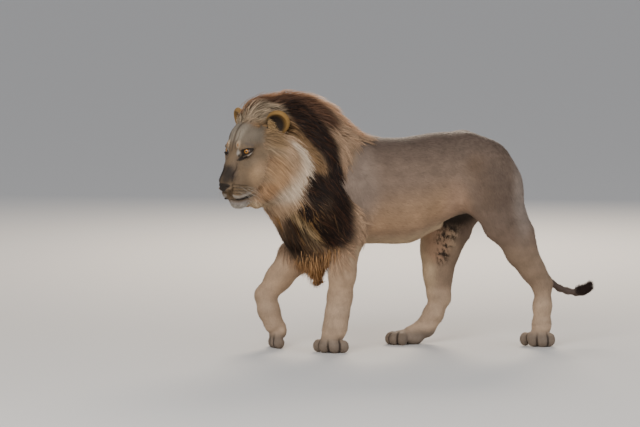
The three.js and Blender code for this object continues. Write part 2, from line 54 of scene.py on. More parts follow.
HEAD_AXES = np.array(
    [
        [-math.cos(HEAD_TURN), -math.sin(HEAD_TURN), 0],
        [math.sin(HEAD_TURN), -math.cos(HEAD_TURN), 0],
        [0, 0, 1],
    ]
)
EYE_AT = np.array([-11.0, 58.0, 0.0])
LEFT, RIGHT = 1, -1


def from_head(point):
    """A point given as forward, left and up from between the eyes, in the lion's drawing."""
    return HEAD_AT + np.asarray(point, float) @ HEAD_AXES


def head_of(x, y, z):
    """Forward, left and up of a point of the drawing."""
    dx, dy, dz = x - HEAD_AT[0], y - HEAD_AT[1], z - HEAD_AT[2]
    forward, left = HEAD_AXES[0], HEAD_AXES[1]
    return dx * forward[0] + dy * forward[1], dx * left[0] + dy * left[1], dz


low, high = np.array(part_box("eye_left"))
TO_PART = (low + high) / 2 - from_head(EYE_AT) * MM


def to_part(points):
    return np.asarray(points) * MM + TO_PART


AZIMUTH, ELEVATION = math.radians(-12), math.radians(6)
DISTANCE, FAR_CLIP = 25.0, 200
PIXELS_PER_METRE, SENSOR = 204.0, 36.0
FRAME_WIDTH, FRAME_HEIGHT = 640, 427
# where the drawing's origin falls in the frame, in pixels across and down
ORIGIN_ACROSS, ORIGIN_DOWN = 400.0, 347.1
AIM_ACROSS, AIM_UP = FRAME_WIDTH / 2 - ORIGIN_ACROSS, ORIGIN_DOWN - FRAME_HEIGHT / 2
right = Vector((math.cos(AZIMUTH), math.sin(AZIMUTH), 0))
level = Vector((math.sin(AZIMUTH), -math.cos(AZIMUTH), 0))
back = Vector((level.x * math.cos(ELEVATION), level.y * math.cos(ELEVATION), math.sin(ELEVATION)))
up = back.cross(right)
aim = right * (AIM_ACROSS / PIXELS_PER_METRE) + up * (AIM_UP / PIXELS_PER_METRE) + Vector(TO_PART)
camera = bpy.data.objects.new("camera", bpy.data.cameras.new("camera"))
camera_axes = Matrix((right, up, back)).transposed().to_4x4()
camera.matrix_world = Matrix.Translation(aim + back * DISTANCE) @ camera_axes
camera.data.lens = PIXELS_PER_METRE * DISTANCE * SENSOR / FRAME_WIDTH
camera.data.sensor_width = SENSOR
camera.data.clip_end = FAR_CLIP
bpy.context.collection.objects.link(camera)
bpy.context.scene.camera = camera
LAMPS_AIM = Vector((0, 0, 0.75))


def soft_light(name, size, power, place, colour):
    """A square lamp that faces the lion's middle."""
    lamp = bpy.data.objects.new(name, bpy.data.lights.new(name, "AREA"))
    lamp.data.size = size
    lamp.data.energy = power
    lamp.data.color = colour
    lamp.location = place
    lamp.rotation_euler = (LAMPS_AIM - lamp.location).to_track_quat("-Z", "Y").to_euler()
    bpy.context.collection.objects.link(lamp)


soft_light("key_light", 4.0, 330, (-3.5, -5.0, 4.2), (1.0, 0.97, 0.93))
soft_light("fill_light", 5.0, 130, (4.5, -5.0, 2.4), (0.93, 0.96, 1.0))
soft_light("rim_light", 2.4, 360, (1.5, 5.0, 3.6), (1.0, 0.86, 0.7))
world = bpy.data.worlds.new("studio")
world.use_nodes = True
world.node_tree.nodes["Background"].inputs["Color"].default_value = (0.9, 0.93, 1.0, 1)
world.node_tree.nodes["Background"].inputs["Strength"].default_value = 0.55
bpy.context.scene.world = world

FLOOR_REACH = 40
floor_mesh = bpy.data.meshes.new("floor")
floor_corners = [(x * FLOOR_REACH, y * FLOOR_REACH, 0) for x, y in ((-1, -1), (1, -1), (1, 1), (-1, 1))]
floor_mesh.from_pydata(floor_corners, [], [(0, 1, 2, 3)])
floor = bpy.data.objects.new("floor", floor_mesh)
floor_material = bpy.data.materials.new("pale_floor")
floor_material.use_nodes = True
floor_shader = floor_material.node_tree.nodes["Principled BSDF"]
floor_shader.inputs["Base Color"].default_value = (0.62, 0.6, 0.57, 1)
floor_shader.inputs["Roughness"].default_value = 0.9
floor_mesh.materials.append(floor_material)
bpy.context.collection.objects.link(floor)

# ---------------------------------------------------------------- trunk, neck and rump
# The body's mass under its short coat: a deep chest, a level back and a lean belly. It is one smooth field,
# negative inside the animal, of a lofted trunk and round muscles that flow into each other. Each form also
# says how deep its coat is, and the skin lies that far in.
BODY_COAT = 5.0


def join(a, b, k):
    """Smooth union of two fields over the reach k."""
    h = np.maximum(k - np.abs(a - b), 0) / k
    return np.minimum(a, b) - h * h * k * 0.25


def press(a, b, k):
    """Presses form b into form a."""
    return -join(-a, b, k)


class Form:
    """One rounded form: its distance function, its reach k, its box, and the hair's direction along it."""

    def __init__(self, distance, k, low, high, coat, lie=None):
        self.distance, self.k, self.coat, self.lie = distance, k, coat, lie
        self.low, self.high = np.asarray(low, float), np.asarray(high, float)


def limb(a, b, ra, rb, k=40, flat=1.0, coat=BODY_COAT):
    """A round limb from a to b whose radius runs from ra to rb; flat is its sideways share of that radius."""
    a, b = np.array(a, float), np.array(b, float)
    d = (b - a) / (1, flat, 1)
    dd = float(d @ d)

    def distance(x, y, z):
        px, py, pz = x - a[0], (y - a[1]) / flat, z - a[2]
        t = np.clip((px * d[0] + py * d[1] + pz * d[2]) / dd, 0, 1)
        away = np.sqrt((px - t * d[0]) ** 2 + (py - t * d[1]) ** 2 + (pz - t * d[2]) ** 2)
        return away - (ra + t * (rb - ra))

    wide = max(ra, rb) * max(1, flat)
    lie = (b - a) / np.linalg.norm(b - a)
    return Form(distance, k, np.minimum(a, b) - wide, np.maximum(a, b) + wide, coat, lie)


def oval(at, radii, k=30, lean=0.0, coat=BODY_COAT):
    """An oval with three radii, leaning about the sideways axis."""
    at, radii = np.array(at, float), np.array(radii, float)
    c, s = math.cos(lean), math.sin(lean)

    def distance(x, y, z):
        px, py, pz = x - at[0], y - at[1], z - at[2]
        q = ((px * c - pz * s) / radii[0], py / radii[1], (px * s + pz * c) / radii[2])
        near = np.sqrt(q[0] ** 2 + q[1] ** 2 + q[2] ** 2)
        slope = np.sqrt((q[0] / radii[0]) ** 2 + (q[1] / radii[1]) ** 2 + (q[2] / radii[2]) ** 2)
        return near * (near - 1) / np.maximum(slope, 1e-9)

    return Form(distance, k, at - radii.max(), at + radii.max(), coat)


def chain(joints, k, flat=1.0, coat=BODY_COAT):
    """Limbs from joint to joint, each joint an (x, y, z, radius)."""
    return [limb(a[:3], b[:3], a[3], b[3], k, flat, coat) for a, b in zip(joints, joints[1:])]


# x, top line, belly line and half width, from the chest to the rump
TRUNK = [
    (-500, 990, 640, 120), (-420, 1040, 560, 158), (-330, 1062, 515, 178), (-250, 1060, 512, 182),
    (-125, 1038, 512, 184), (0, 1033, 508, 184), (75, 1041, 526, 180), (150, 1052, 574, 172),
    (211, 1056, 612, 163), (276, 1055, 640, 158), (351, 1041, 655, 160), (420, 999, 690, 150),
    (480, 932, 735, 116),
]
TRUNK = np.array(TRUNK, float)
TRUNK_WIDEST, TRUNK_SQUARENESS, TRUNK_END = 0.47, 2.25, 95.0


def trunk_values(x):
    """Top line, belly line and half width of the trunk at x, by a smooth curve through the stations."""
    stations = TRUNK[:, 0]
    x = np.clip(x, stations[0], stations[-1])
    i = np.clip(np.searchsorted(stations, x, side="right") - 1, 0, len(stations) - 2)
    before, after = np.maximum(i - 1, 0), np.minimum(i + 2, len(stations) - 1)
    span = stations[i + 1] - stations[i]
    t = (x - stations[i]) / span
    values = []
    for column in (1, 2, 3):
        v = TRUNK[:, column]
        m1 = (v[i + 1] - v[before]) / (stations[i + 1] - stations[before]) * span
        m2 = (v[after] - v[i]) / (stations[after] - stations[i]) * span
        t2, t3 = t * t, t * t * t
        left_part = v[i] * (2 * t3 - 3 * t2 + 1) + m1 * (t3 - 2 * t2 + t)
        values.append(left_part + v[i + 1] * (3 * t2 - 2 * t3) + m2 * (t3 - t2))
    return values


def trunk_distance(x, y, z):
    top, belly, half = trunk_values(x)
    widest = belly + TRUNK_WIDEST * (top - belly)
    tall = np.where(z > widest, top - widest, widest - belly)
    u, v = np.abs(y) / half, np.abs(z - widest) / tall
    over = np.maximum(np.maximum(TRUNK[0, 0] - x, x - TRUNK[-1, 0]), 0) / TRUNK_END
    section = (u**TRUNK_SQUARENESS + v**TRUNK_SQUARENESS) ** (1 / TRUNK_SQUARENESS)
    near = np.sqrt(section**2 + over**2)
    slope = np.sqrt((u / half) ** 2 + (v / tall) ** 2 + (over / TRUNK_END) ** 2)
    return near * (near - 1) / np.maximum(slope, 1e-4)


TRUNK_LIE = np.array([0.93, 0, -0.37])
trunk = Form(trunk_distance, 60, (-600, -190, 500), (580, 190, 1070), BODY_COAT, TRUNK_LIE)
muscles = [
    *chain([(-640, -18, 1010, 125), (-480, -5, 930, 150), (-330, 0, 880, 170)], 70, 0.85),
    *chain([(-500, 0, 740, 115), (-360, 0, 700, 150)], 60, 0.9),
    *[f for s in (-1, 1) for f in chain([(330, s * 70, 985, 66), (415, s * 78, 925, 76)], 60, 0.8)],
    limb((300, 0, 990), (470, 0, 892), 54, 44, 40),
    *[oval((505, s * 26, 668), (34, 27, 32), 14) for s in (-1, 1)],
    limb((40, 0, 548), (190, 0, 598), 30, 24, 30),
]

# ---------------------------------------------------------------- legs and paws
# Four legs in mid stride: the left fore leg and both hind legs carry weight, and the right fore leg is bent
# at the wrist with the tips of its toes on the floor. The coat is short on them, and shortest on the paws.
LEG_COAT, PAW_COAT = 4.0, 2.5
TOE_RADII, TOE_BLEND = (29, 24, 34), 7
FLOOR_LEVEL = 0.0


def toes(hand, places, height, tall=1.0):
    """Round toes at their (x, y) places on the floor, each joined to the hand."""
    made = []
    for x, y in places:
        made.append(limb(hand, (x, y, height * 1.15), 26, 23, TOE_BLEND, 1.0, PAW_COAT))
        made.append(oval((x, y, height), np.multiply(TOE_RADII, (1, 1, tall)), TOE_BLEND, 0, PAW_COAT))
    return made


FORE_LEFT_TOES = [(-428, -92), (-408, -134), (-364, -160), (-318, -156)]
FORE_RIGHT_TOES = [(-600, 158), (-606, 130), (-602, 101), (-590, 74)]
HIND_LEFT_TOES = [(611, -84), (640, -122), (684, -142), (722, -136)]
HIND_RIGHT_TOES = [(-4, 148), (-21, 117), (-8, 87), (26, 68)]
fore_left = [
    *chain([(-300, -120, 960, 70), (-380, -150, 780, 92), (-425, -150, 700, 92)], 60, 0.7),
    *chain([(-430, -145, 700, 95), (-300, -150, 575, 74)], 60, 0.8),
    *chain([(-265, -148, 790, 78), (-272, -162, 580, 58)], 50, 0.75),
    *chain(
        [(-303, -150, 520, 74), (-320, -140, 380, 63), (-330, -130, 270, 58), (-342, -124, 190, 57)],
        40,
        0.86,
        LEG_COAT,
    ),
    *chain([(-342, -124, 190, 57), (-352, -120, 120, 56), (-372, -118, 60, 52)], 30, 0.98, PAW_COAT),
    *toes((-366, -122, 48), FORE_LEFT_TOES, 31),
    oval((-378, -124, 44), (50, 44, 31), 14, 0, PAW_COAT),
    oval((-350, -116, 27), (50, 50, 34), 20, 0, PAW_COAT),
]
fore_right = [
    *chain([(-310, 120, 960, 70), (-400, 150, 780, 92), (-455, 150, 700, 92)], 60, 0.7),
    *chain([(-455, 150, 700, 95), (-415, 148, 545, 78)], 60, 0.8),
    *chain([(-330, 148, 760, 74), (-395, 152, 560, 60)], 50, 0.75),
    *chain(
        [(-424, 145, 520, 86), (-495, 138, 442, 82), (-578, 130, 342, 62), (-647, 124, 258, 52)],
        40,
        0.82,
        LEG_COAT,
    ),
    *chain([(-647, 124, 258, 54), (-632, 120, 185, 53), (-607, 117, 115, 50)], 22, 0.95, PAW_COAT),
    *toes((-606, 116, 92), FORE_RIGHT_TOES, 26, 0.9),
    oval((-574, 116, 84), (32, 50, 44), 18, 0, PAW_COAT),
]
hind_left = [
    *chain([(398, -92, 875, 145), (436, -108, 780, 145), (490, -125, 640, 114)], 60, 0.58),
    *chain(
        [(502, -128, 612, 108), (551, -127, 552, 88), (581, -126, 470, 75), (632, -122, 385, 56)],
        40,
        0.72,
        LEG_COAT,
    ),
    *chain([(632, -122, 385, 56), (680, -116, 300, 48)], 40, 0.72, LEG_COAT),
    *chain([(640, -122, 440, 22), (715, -114, 322, 24)], 30, 0.8, LEG_COAT),
    *chain(
        [(696, -114, 300, 40), (690, -112, 200, 44), (687, -110, 105, 44), (680, -110, 60, 44)],
        30,
        0.84,
        PAW_COAT,
    ),
    *toes((672, -112, 54), HIND_LEFT_TOES, 35, 1.05),
    oval((664, -114, 50), (54, 40, 30), 14, 0, PAW_COAT),
    oval((690, -110, 27), (46, 52, 34), 20, 0, PAW_COAT),
]
hind_right = [
    *chain([(385, 92, 870, 150), (330, 112, 740, 150), (265, 128, 605, 122)], 60, 0.58),
    *chain(
        [
            (264, 130, 560, 124), (238, 130, 490, 100), (228, 128, 440, 86),
            (216, 122, 350, 68), (213, 116, 255, 58),
        ],
        40,
        0.72,
        LEG_COAT,
    ),
    *chain([(272, 124, 400, 24), (256, 114, 222, 26)], 30, 0.8, LEG_COAT),
    *chain(
        [(226, 114, 215, 50), (192, 112, 142, 48), (154, 110, 80, 46), (80, 110, 50, 42)],
        30,
        0.84,
        PAW_COAT,
    ),
    *toes((52, 110, 46), HIND_RIGHT_TOES, 29),
    oval((34, 110, 40), (46, 46, 28), 14, 0, PAW_COAT),
    oval((92, 110, 27), (50, 52, 34), 20, 0, PAW_COAT),
]

# ---------------------------------------------------------------- tail
# A thin tail hangs behind the left thigh and curls up at its end, where it carries a small dark tuft. Its
# coat is as short as the legs' and grows towards the tip.
tail = chain(
    [
        (492, 0, 892, 44), (545, 0, 835, 34), (580, 2, 750, 27), (602, 2, 640, 23), (636, 0, 515, 20),
        (675, 0, 425, 19), (705, 0, 370, 18), (735, 0, 328, 18), (767, 0, 296, 18), (805, 0, 271, 18),
        (845, 0, 256, 18), (890, 0, 247, 18), (922, 0, 249, 19), (946, 0, 262, 17), (956, 0, 284, 11),
    ],
    16,
    1.0,
    LEG_COAT,
)

# ---------------------------------------------------------------- mane
# The mane's own body, out to the tips of its hair: a crest from the forehead to the withers, the neck's
# sides, and the chest down to a short tassel between the elbows. The skin lies well inside it.
MANE_COAT = 34.0
mane = [
    *chain([(-703, -42, 1127, 118), (-600, -18, 1119, 134), (-500, 0, 1100, 144)], 40, 0.7, MANE_COAT),
    *chain([(-500, 0, 1090, 148), (-430, 0, 1062, 152), (-330, 0, 1000, 132)], 50, 0.8, MANE_COAT),
    *chain([(-600, -14, 960, 178), (-430, 0, 925, 212)], 60, 0.98, MANE_COAT),
    *chain([(-530, -10, 830, 196), (-430, 0, 720, 195), (-415, 0, 610, 166)], 70, 1.06, MANE_COAT),
    *chain(
        [(-466, 0, 606, 134), (-446, 0, 505, 84), (-424, 0, 412, 44), (-412, 0, 350, 14)],
        40,
        1.0,
        MANE_COAT,
    ),
]

# ---------------------------------------------------------------- head
# Skull, muzzle, jaw, lids, nose and ears, drawn as forward, left and up from between the eyes, each side
# alike. The fur is a few millimetres deep on the face. Lids, lips, nostrils and folds are pressed in or
# stand up from it.
FACE_COAT = 2.5


def on_head(form):
    """Sets a form that was drawn on the head's own axes into the lion's drawing."""
    middle, reach = (form.low + form.high) / 2, np.linalg.norm(form.high - form.low) / 2
    centre = from_head(middle)
    lie = None if form.lie is None else form.lie @ HEAD_AXES

    def distance(x, y, z):
        return form.distance(*head_of(x, y, z))

    return Form(distance, form.k, centre - reach, centre + reach, form.coat, lie)


def both(make):
    """Makes a form, or a list of forms, for each side of the head."""
    made = []
    for side in (LEFT, RIGHT):
        forms = make(side)
        made += forms if isinstance(forms, list) else [forms]
    return made


skull = [
    oval((-112, 0, 42), (132, 104, 108), 30),
    *both(lambda s: limb((0, s * 34, 24), (-20, s * 62, 18), 24, 18, 22)),
    *chain([(-12, 0, 14, 44), (22, 0, -72, 42), (72, 0, -140, 40)], 26, 0.98),
    *both(lambda s: limb((-24, s * 60, -58), (-120, s * 104, -20), 26, 42, 30)),
    *both(lambda s: oval((-96, s * 78, -92), (82, 50, 92), 30)),
    *both(lambda s: limb((-24, s * 40, -96), (22, s * 26, -172), 46, 36, 26)),
    *both(lambda s: oval((-45, s * 50, -152), (50, 36, 52), 24)),
    *both(lambda s: oval((3, s * 33, -200), (61, 33, 42), 14)),
    *both(lambda s: oval(EYE_AT * (1, s, 1), (27.5, 27.5, 27.5), 9)),
    *both(lambda s: chain([(22, s * 42, 10, 8), (4, s * 63, 19, 8), (-24, s * 80, 12, 8)], 10)),
    *both(lambda s: oval((16, s * 32, 34), (16, 12, 16), 12)),
    *both(lambda s: chain([(18, s * 56, -24, 6), (2, s * 74, -14, 6), (-18, s * 84, 0, 5)], 9)),
]
jaw = [
    *both(
        lambda s: chain(
            [(58, s * 3, -229, 4), (54, s * 24, -233, 5), (36, s * 48, -235, 6), (-10, s * 65, -223, 7)],
            4,
        )
    ),
    *both(lambda s: limb((-10, s * 65, -223), (-50, s * 77, -206), 7, 8, 5)),
    oval((-5, 0, -241), (46, 38, 33), 12),
    *both(lambda s: limb((-10, s * 10, -234), (-130, s * 52, -168), 32, 46, 20)),
]
nose_pad = oval((83, 0, -169), (23, 39, 24), 8, -0.3, 0)
nostrils = both(
    lambda s: [
        *chain([(107, s * 12, -175, 7), (101, s * 24, -169, 6), (87, s * 38, -170, 4)], 5),
        limb((106, 0, -182), (78, 0, -202), 2.5, 2.5, 5),
    ]
)
eye_openings = both(
    lambda s: [
        *chain([(27, s * 44, -19, 6), (18, s * 58, -6, 11), (6, s * 74, 2, 10), (-18, s * 88, 8, 6)], 6),
        limb((27, s * 44, -20), (33, s * 36, -38), 5, 2.5, 5),
    ]
)
folds = [
    limb((-8, 0, 66), (-58, 0, 132), 2, 4, 16),
    *both(
        lambda s: [
            *chain([(66, s * 28, -122, 1), (40, s * 37, -86, 1.5), (36, s * 37, -60, 1)], 14),
            *chain([(84, s * 2, -196, 2), (70, 0, -226, 3)], 6),
            *chain([(66, s * 32, -156, 1.5), (34, s * 58, -170, 2), (4, s * 74, -176, 1)], 9),
            *chain([(62, s * 38, -182, 1), (30, s * 62, -192, 1.5), (0, s * 72, -192, 1)], 7),
            *chain([(18, s * 60, -42, 1), (0, s * 76, -34, 1), (-16, s * 86, -18, 1)], 8),
            *chain([(-60, s * 84, -206, 2), (-86, s * 94, -150, 2)], 20),
        ]
    ),
]
lip_line = both(
    lambda s: chain(
        [(70, s * 2, -231, 1.5), (58, s * 23, -236, 1.5), (38, s * 48, -238, 2), (-10, s * 68, -226, 2)],
        4,
    )
)
ruff = both(
    lambda s: [
        limb((-150, s * 108, 50), (-185, s * 122, -40), 52, 82, 40, 1, 22),
        limb((-185, s * 122, -40), (-150, s * 104, -150), 82, 74, 40, 1, 22),
        limb((-150, s * 104, -150), (-92, s * 40, -232), 74, 48, 40, 1, 14),
    ]
)
EAR_AT, EAR_SIZE, EAR_WALL = (-158, 124, 135), (30, 60, 60), 13
EAR_TILT, EAR_TURN = math.radians(-24), math.radians(32)
EAR_BLEND, EAR_REACH, EAR_COAT = 12, 75, 1.0


def ear(side):
    """A round cup that opens forwards and outwards."""
    place = (
        Matrix.Translation((EAR_AT[0], side * EAR_AT[1], EAR_AT[2]))
        @ Matrix.Rotation(side * EAR_TILT, 4, "X")
        @ Matrix.Rotation(side * EAR_TURN, 4, "Z")
    )
    turn = np.array(place.inverted())
    depth, width, height = EAR_SIZE
    outer = oval((0, 0, 0), EAR_SIZE, 10)
    inner = oval((depth * 0.8, 0, -4), (depth, width - EAR_WALL, height - EAR_WALL), 8)
    root = limb((-8, 0, -28), (-14, 0, -74), 38, 48, 20)

    def distance(x, y, z):
        f, w, u = (turn[i, 0] * x + turn[i, 1] * y + turn[i, 2] * z + turn[i, 3] for i in range(3))
        whole_ear = join(outer.distance(f, w, u), root.distance(f, w, u), root.k)
        return press(whole_ear, inner.distance(f, w, u), inner.k)

    middle = np.array((EAR_AT[0], side * EAR_AT[1], EAR_AT[2] - 10))
    return Form(distance, EAR_BLEND, middle - EAR_REACH, middle + EAR_REACH, EAR_COAT)


def with_coat(forms, coat):
    for form in forms:
        form.coat = coat
    return forms


head_forms = [on_head(f) for f in (*with_coat(skull, FACE_COAT), *ruff)]
jaw_forms = [on_head(f) for f in with_coat(jaw, FACE_COAT)]
ear_forms = [on_head(ear(s)) for s in (LEFT, RIGHT)]
body_forms = [trunk, *muscles, *fore_left, *fore_right, *hind_left, *hind_right, *tail, *mane]

# ---------------------------------------------------------------- skin
# One closed skin over the whole animal, without a seam, inside the solids by the coat's depth. It is meshed
# from the field on fine nets over the head and the paws and a coarser one over the rest, joined edge to edge.
FAR = 400.0
FORM_MARGIN = 25


def fold(field, forms, axes, presses=False, inset=True):
    """Folds forms into a field held on a grid; each is worked out only where it can matter."""
    for form in forms:
        pad = form.k + FORM_MARGIN
        reach = zip(axes, form.low - pad, form.high + pad)
        span = tuple(slice(*np.searchsorted(a, ends)) for a, *ends in reach)
        if any(s.start >= s.stop for s in span):
            continue
        x, y, z = (a[s] for a, s in zip(axes, span))
        value = form.distance(x[:, None, None], y[None, :, None], z[None, None, :]).astype(np.float32)
        if presses:
            field[span] = press(field[span], value, form.k)
        else:
            field[span] = join(field[span], value + form.coat * inset, form.k)
    return field


def grid_field(axes, inset=True):
    """The whole lion's field on a grid, at the skin or, without inset, at the coat's tips."""
    field = np.full([len(a) for a in axes], FAR, np.float32)
    fold(field, [*body_forms, *head_forms], axes, inset=inset)
    fold(field, [on_head(f) for f in eye_openings], axes, presses=True)
    fold(field, jaw_forms, axes, inset=inset)
    fold(field, [on_head(f) for f in (*lip_line, *folds)], axes, presses=True)
    fold(field, [on_head(nose_pad)], axes, inset=inset)
    fold(field, [on_head(f) for f in nostrils], axes, presses=True)
    fold(field, ear_forms, axes, inset=inset)
    return field


def axes_of(low, high, cell):
    return [np.arange(a, b + cell, cell) for a, b in zip(low, high)]


def net(field, axes):
    """A mesh of four-sided faces at the field's zero: one vertex in each cell that the surface crosses."""
    inside = field < 0
    shape = np.array(field.shape) - 1
    corner = [(a, b, c) for a in (0, 1) for b in (0, 1) for c in (0, 1)]

    def at(values, o):
        return values[o[0] : o[0] + shape[0], o[1] : o[1] + shape[1], o[2] : o[2] + shape[2]]

    count = sum(at(inside, o).astype(np.int8) for o in corner)
    mixed = (count > 0) & (count < 8)
    cells = np.argwhere(mixed)
    number = np.full(shape, -1, np.int32)
    number[mixed] = np.arange(len(cells))
    total, crossings = np.zeros((len(cells), 3)), np.zeros(len(cells))
    for axis in range(3):
        for o in corner:
            if o[axis]:
                continue
            end = [v + (m == axis) for m, v in enumerate(o)]
            va, vb = field[tuple((cells + o).T)], field[tuple((cells + end).T)]
            cross = (va < 0) != (vb < 0)
            share = np.where(cross, va / np.where(cross, va - vb, 1), 0)
            place = np.tile(np.array(o, float), (len(cells), 1))
            place[:, axis] += share
            total += place * cross[:, None]
            crossings += cross
    places = cells + total / crossings[:, None]
    step = np.array([a[1] - a[0] for a in axes])
    points = places * step + [a[0] for a in axes]
    faces = []
    for axis in range(3):
        u, v = (axis + 1) % 3, (axis + 2) % 3
        one, two = np.moveaxis(inside, axis, 0)[:-1], np.moveaxis(inside, axis, 0)[1:]
        change = np.moveaxis(one != two, 0, axis)
        edges = np.argwhere(change)
        within = (edges[:, u] > 0) & (edges[:, v] > 0) & (edges[:, u] < shape[u]) & (edges[:, v] < shape[v])
        edges = edges[within]
        quad = []
        for du, dv in ((0, 0), (1, 0), (1, 1), (0, 1)):
            cell = edges.copy()
            cell[:, u] -= du
            cell[:, v] -= dv
            quad.append(number[tuple(cell.T)])
        quad = np.stack(quad, 1)
        outward = inside[tuple(edges.T)]
        quad[~outward] = quad[~outward][:, ::-1]
        faces.append(quad)
    return points, np.concatenate(faces)


def mesh_from(name, points, faces):
    """A mesh from arrays of points and of faces that all have the same number of corners."""
    mesh = bpy.data.meshes.new(name)
    sides = faces.shape[1]
    mesh.vertices.add(len(points))
    mesh.vertices.foreach_set("co", np.ascontiguousarray(points, np.float32).ravel())
    mesh.loops.add(faces.size)
    mesh.loops.foreach_set("vertex_index", np.ascontiguousarray(faces, np.int32).ravel())
    mesh.polygons.add(len(faces))
    mesh.polygons.foreach_set("loop_start", np.arange(0, faces.size, sides, dtype=np.int32))
    mesh.polygons.foreach_set("loop_total", np.full(len(faces), sides, np.int32))
    mesh.update(calc_edges=True)
    return mesh


CUT_BEHIND_EARS = -205.0
BODY_CELL, HEAD_CELL = ((6.5, 2.8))
body_axes = axes_of((-840, -260, -12), (985, 260, 1300), BODY_CELL)
head_axes = axes_of((-1000, -310, 690), (-500, 210, 1300), HEAD_CELL)

HEAD_CUT = (Vector(from_head((CUT_BEHIND_EARS, 0, 0))), Vector(HEAD_AXES[0]))
PAW_CUT_HEIGHT, PAW_CELL = 112.0, 3.0
PAW_CUT = (Vector((0, 0, PAW_CUT_HEIGHT)), Vector((0, 0, -1)))
PAW_BOXES = [
    ((-480, -215), (-270, -40)),
    ((-680, 40), (-520, 190)),
    ((550, -200), (780, -40)),
    ((-80, 30), (240, 190)),
]
ON_PLANE, RIM_MARGIN = 0.05, 12


def cut(bm, plane, keep_ahead):
    """Cuts a mesh at a plane and keeps what lies ahead of it, or behind it."""
    everything = bm.verts[:] + bm.edges[:] + bm.faces[:]
    bmesh.ops.bisect_plane(
        bm,
        geom=everything,
        plane_co=plane[0],
        plane_no=plane[1],
        clear_inner=keep_ahead,
        clear_outer=not keep_ahead,
        dist=0.01,
    )


def net_of(axes):
    """The skin's mesh on one grid, flat at the floor."""
    field = np.maximum(grid_field(axes), FLOOR_LEVEL - axes[2][None, None, :]).astype(np.float32)
    mesh = mesh_from("part", *net(field, axes))
    bm = bmesh.new()
    bm.from_mesh(mesh)
    bpy.data.meshes.remove(mesh)
    return bm


def rim_points(bm, plane):
    """The vertices of a mesh's open edges that lie on a plane, with their places."""
    at, facing = plane
    open_ends = {v for e in bm.edges if e.is_boundary for v in e.verts}
    rim = {v for v in open_ends if abs((v.co - at).dot(facing)) < ON_PLANE}
    return rim, np.array([v.co for v in rim])


def add_and_bridge(whole, part, plane):
    """Joins a part to the whole, edge to edge along the plane where both were cut."""
    places = rim_points(part, plane)[1]
    low, high = places.min(0) - RIM_MARGIN, places.max(0) + RIM_MARGIN
    spare = bpy.data.meshes.new("spare")
    part.to_mesh(spare)
    part.free()
    whole.from_mesh(spare)
    bpy.data.meshes.remove(spare)
    rim = rim_points(whole, plane)[0]
    rim = {v for v in rim if (low <= np.array(v.co)).all() and (np.array(v.co) <= high).all()}
    facing_rims = [e for e in whole.edges if e.is_boundary and rim.issuperset(e.verts)]
    bmesh.ops.bridge_loops(whole, edges=facing_rims)


whole = net_of(body_axes)
cut(whole, HEAD_CUT, False)
cut(whole, PAW_CUT, False)
front = net_of(head_axes)
cut(front, HEAD_CUT, True)
add_and_bridge(whole, front, HEAD_CUT)
for (x0, y0), (x1, y1) in PAW_BOXES:
    paw = net_of(axes_of((x0, y0, -2 * PAW_CELL), (x1, y1, PAW_CUT_HEIGHT + 2 * PAW_CELL), PAW_CELL))
    cut(paw, PAW_CUT, True)
    add_and_bridge(whole, paw, PAW_CUT)
bmesh.ops.recalc_face_normals(whole, faces=whole.faces[:])
joined = bpy.data.meshes.new("skin")
whole.to_mesh(joined)
whole.free()
joined.transform(Matrix.Translation(Vector(TO_PART)) @ Matrix.Scale(MM, 4))
joined.shade_smooth()
skin = bpy.data.objects.new("lion_skin", joined)
bpy.context.collection.objects.link(skin)
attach(skin, "root")
flesh = [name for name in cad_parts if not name.startswith("eye_")]
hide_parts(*flesh)

# ---------------------------------------------------------------- unwrap of the skin
# Skin and coat share one flat map of the skin's own shape, so that each tuft takes the colour of its root.
MAP_NAME = "OFBake"
joined.uv_layers.new(name=MAP_NAME)
bpy.context.view_layer.objects.active = skin
skin.select_set(True)
bpy.ops.object.mode_set(mode="EDIT")
bpy.ops.mesh.select_all(action="SELECT")
bpy.ops.uv.smart_project(angle_limit=math.radians(60), island_margin=0.001)
bpy.ops.object.mode_set(mode="OBJECT")
skin.select_set(False)


def read(collection, what, width, kind=np.float32):
    values = np.empty(len(collection) * width, kind)
    collection.foreach_get(what, values)
    return values.reshape(-1, width) if width > 1 else values


joined = skin.data
skin_points = (read(joined.vertices, "co", 3) - TO_PART) / MM
skin_normals = read(joined.vertex_normals, "vector", 3)
joined.calc_loop_triangles()
triangles = read(joined.loop_triangles, "vertices", 3, np.int32)
triangle_loops = read(joined.loop_triangles, "loops", 3, np.int32)
loop_places = read(joined.uv_layers[MAP_NAME].uv, "vector", 2)

# ---------------------------------------------------------------- lie of the coat
# Hair runs from the nose back over the face, along the trunk, and down each leg; the mane is swept back from
# the face and falls down the neck and chest.
def unit(v):
    return v / np.maximum(np.linalg.norm(v, axis=-1, keepdims=True), 1e-9)


def soft_step(low, high, x):
    t = np.clip((x - low) / (high - low), 0, 1)
    return t * t * (3 - 2 * t)


NOSE_TIP = (84.0, 0.0, -172.0)
LIE_REACH, LIE_SHIFT = 14.0, 12


def body_lie(p):
    """The blend of the directions of the limbs that are nearest to each point."""
    x, y, z = p.T
    short_haired = (trunk, *muscles, *fore_left, *fore_right, *hind_left, *hind_right, *tail)
    limbs = [f for f in short_haired if f.lie is not None]
    aways = [np.clip(f.distance(x, y, z) + LIE_SHIFT, 0, FAR) for f in limbs]
    nearness = np.stack([np.exp(-away / LIE_REACH) for away in aways], 1)
    return unit(nearness @ np.stack([f.lie for f in limbs]))


def face_lie(p):
    """Back over the face, away from the nose."""
    away = unit(p - from_head(NOSE_TIP))
    return unit(away + 0.35 * -HEAD_AXES[0])


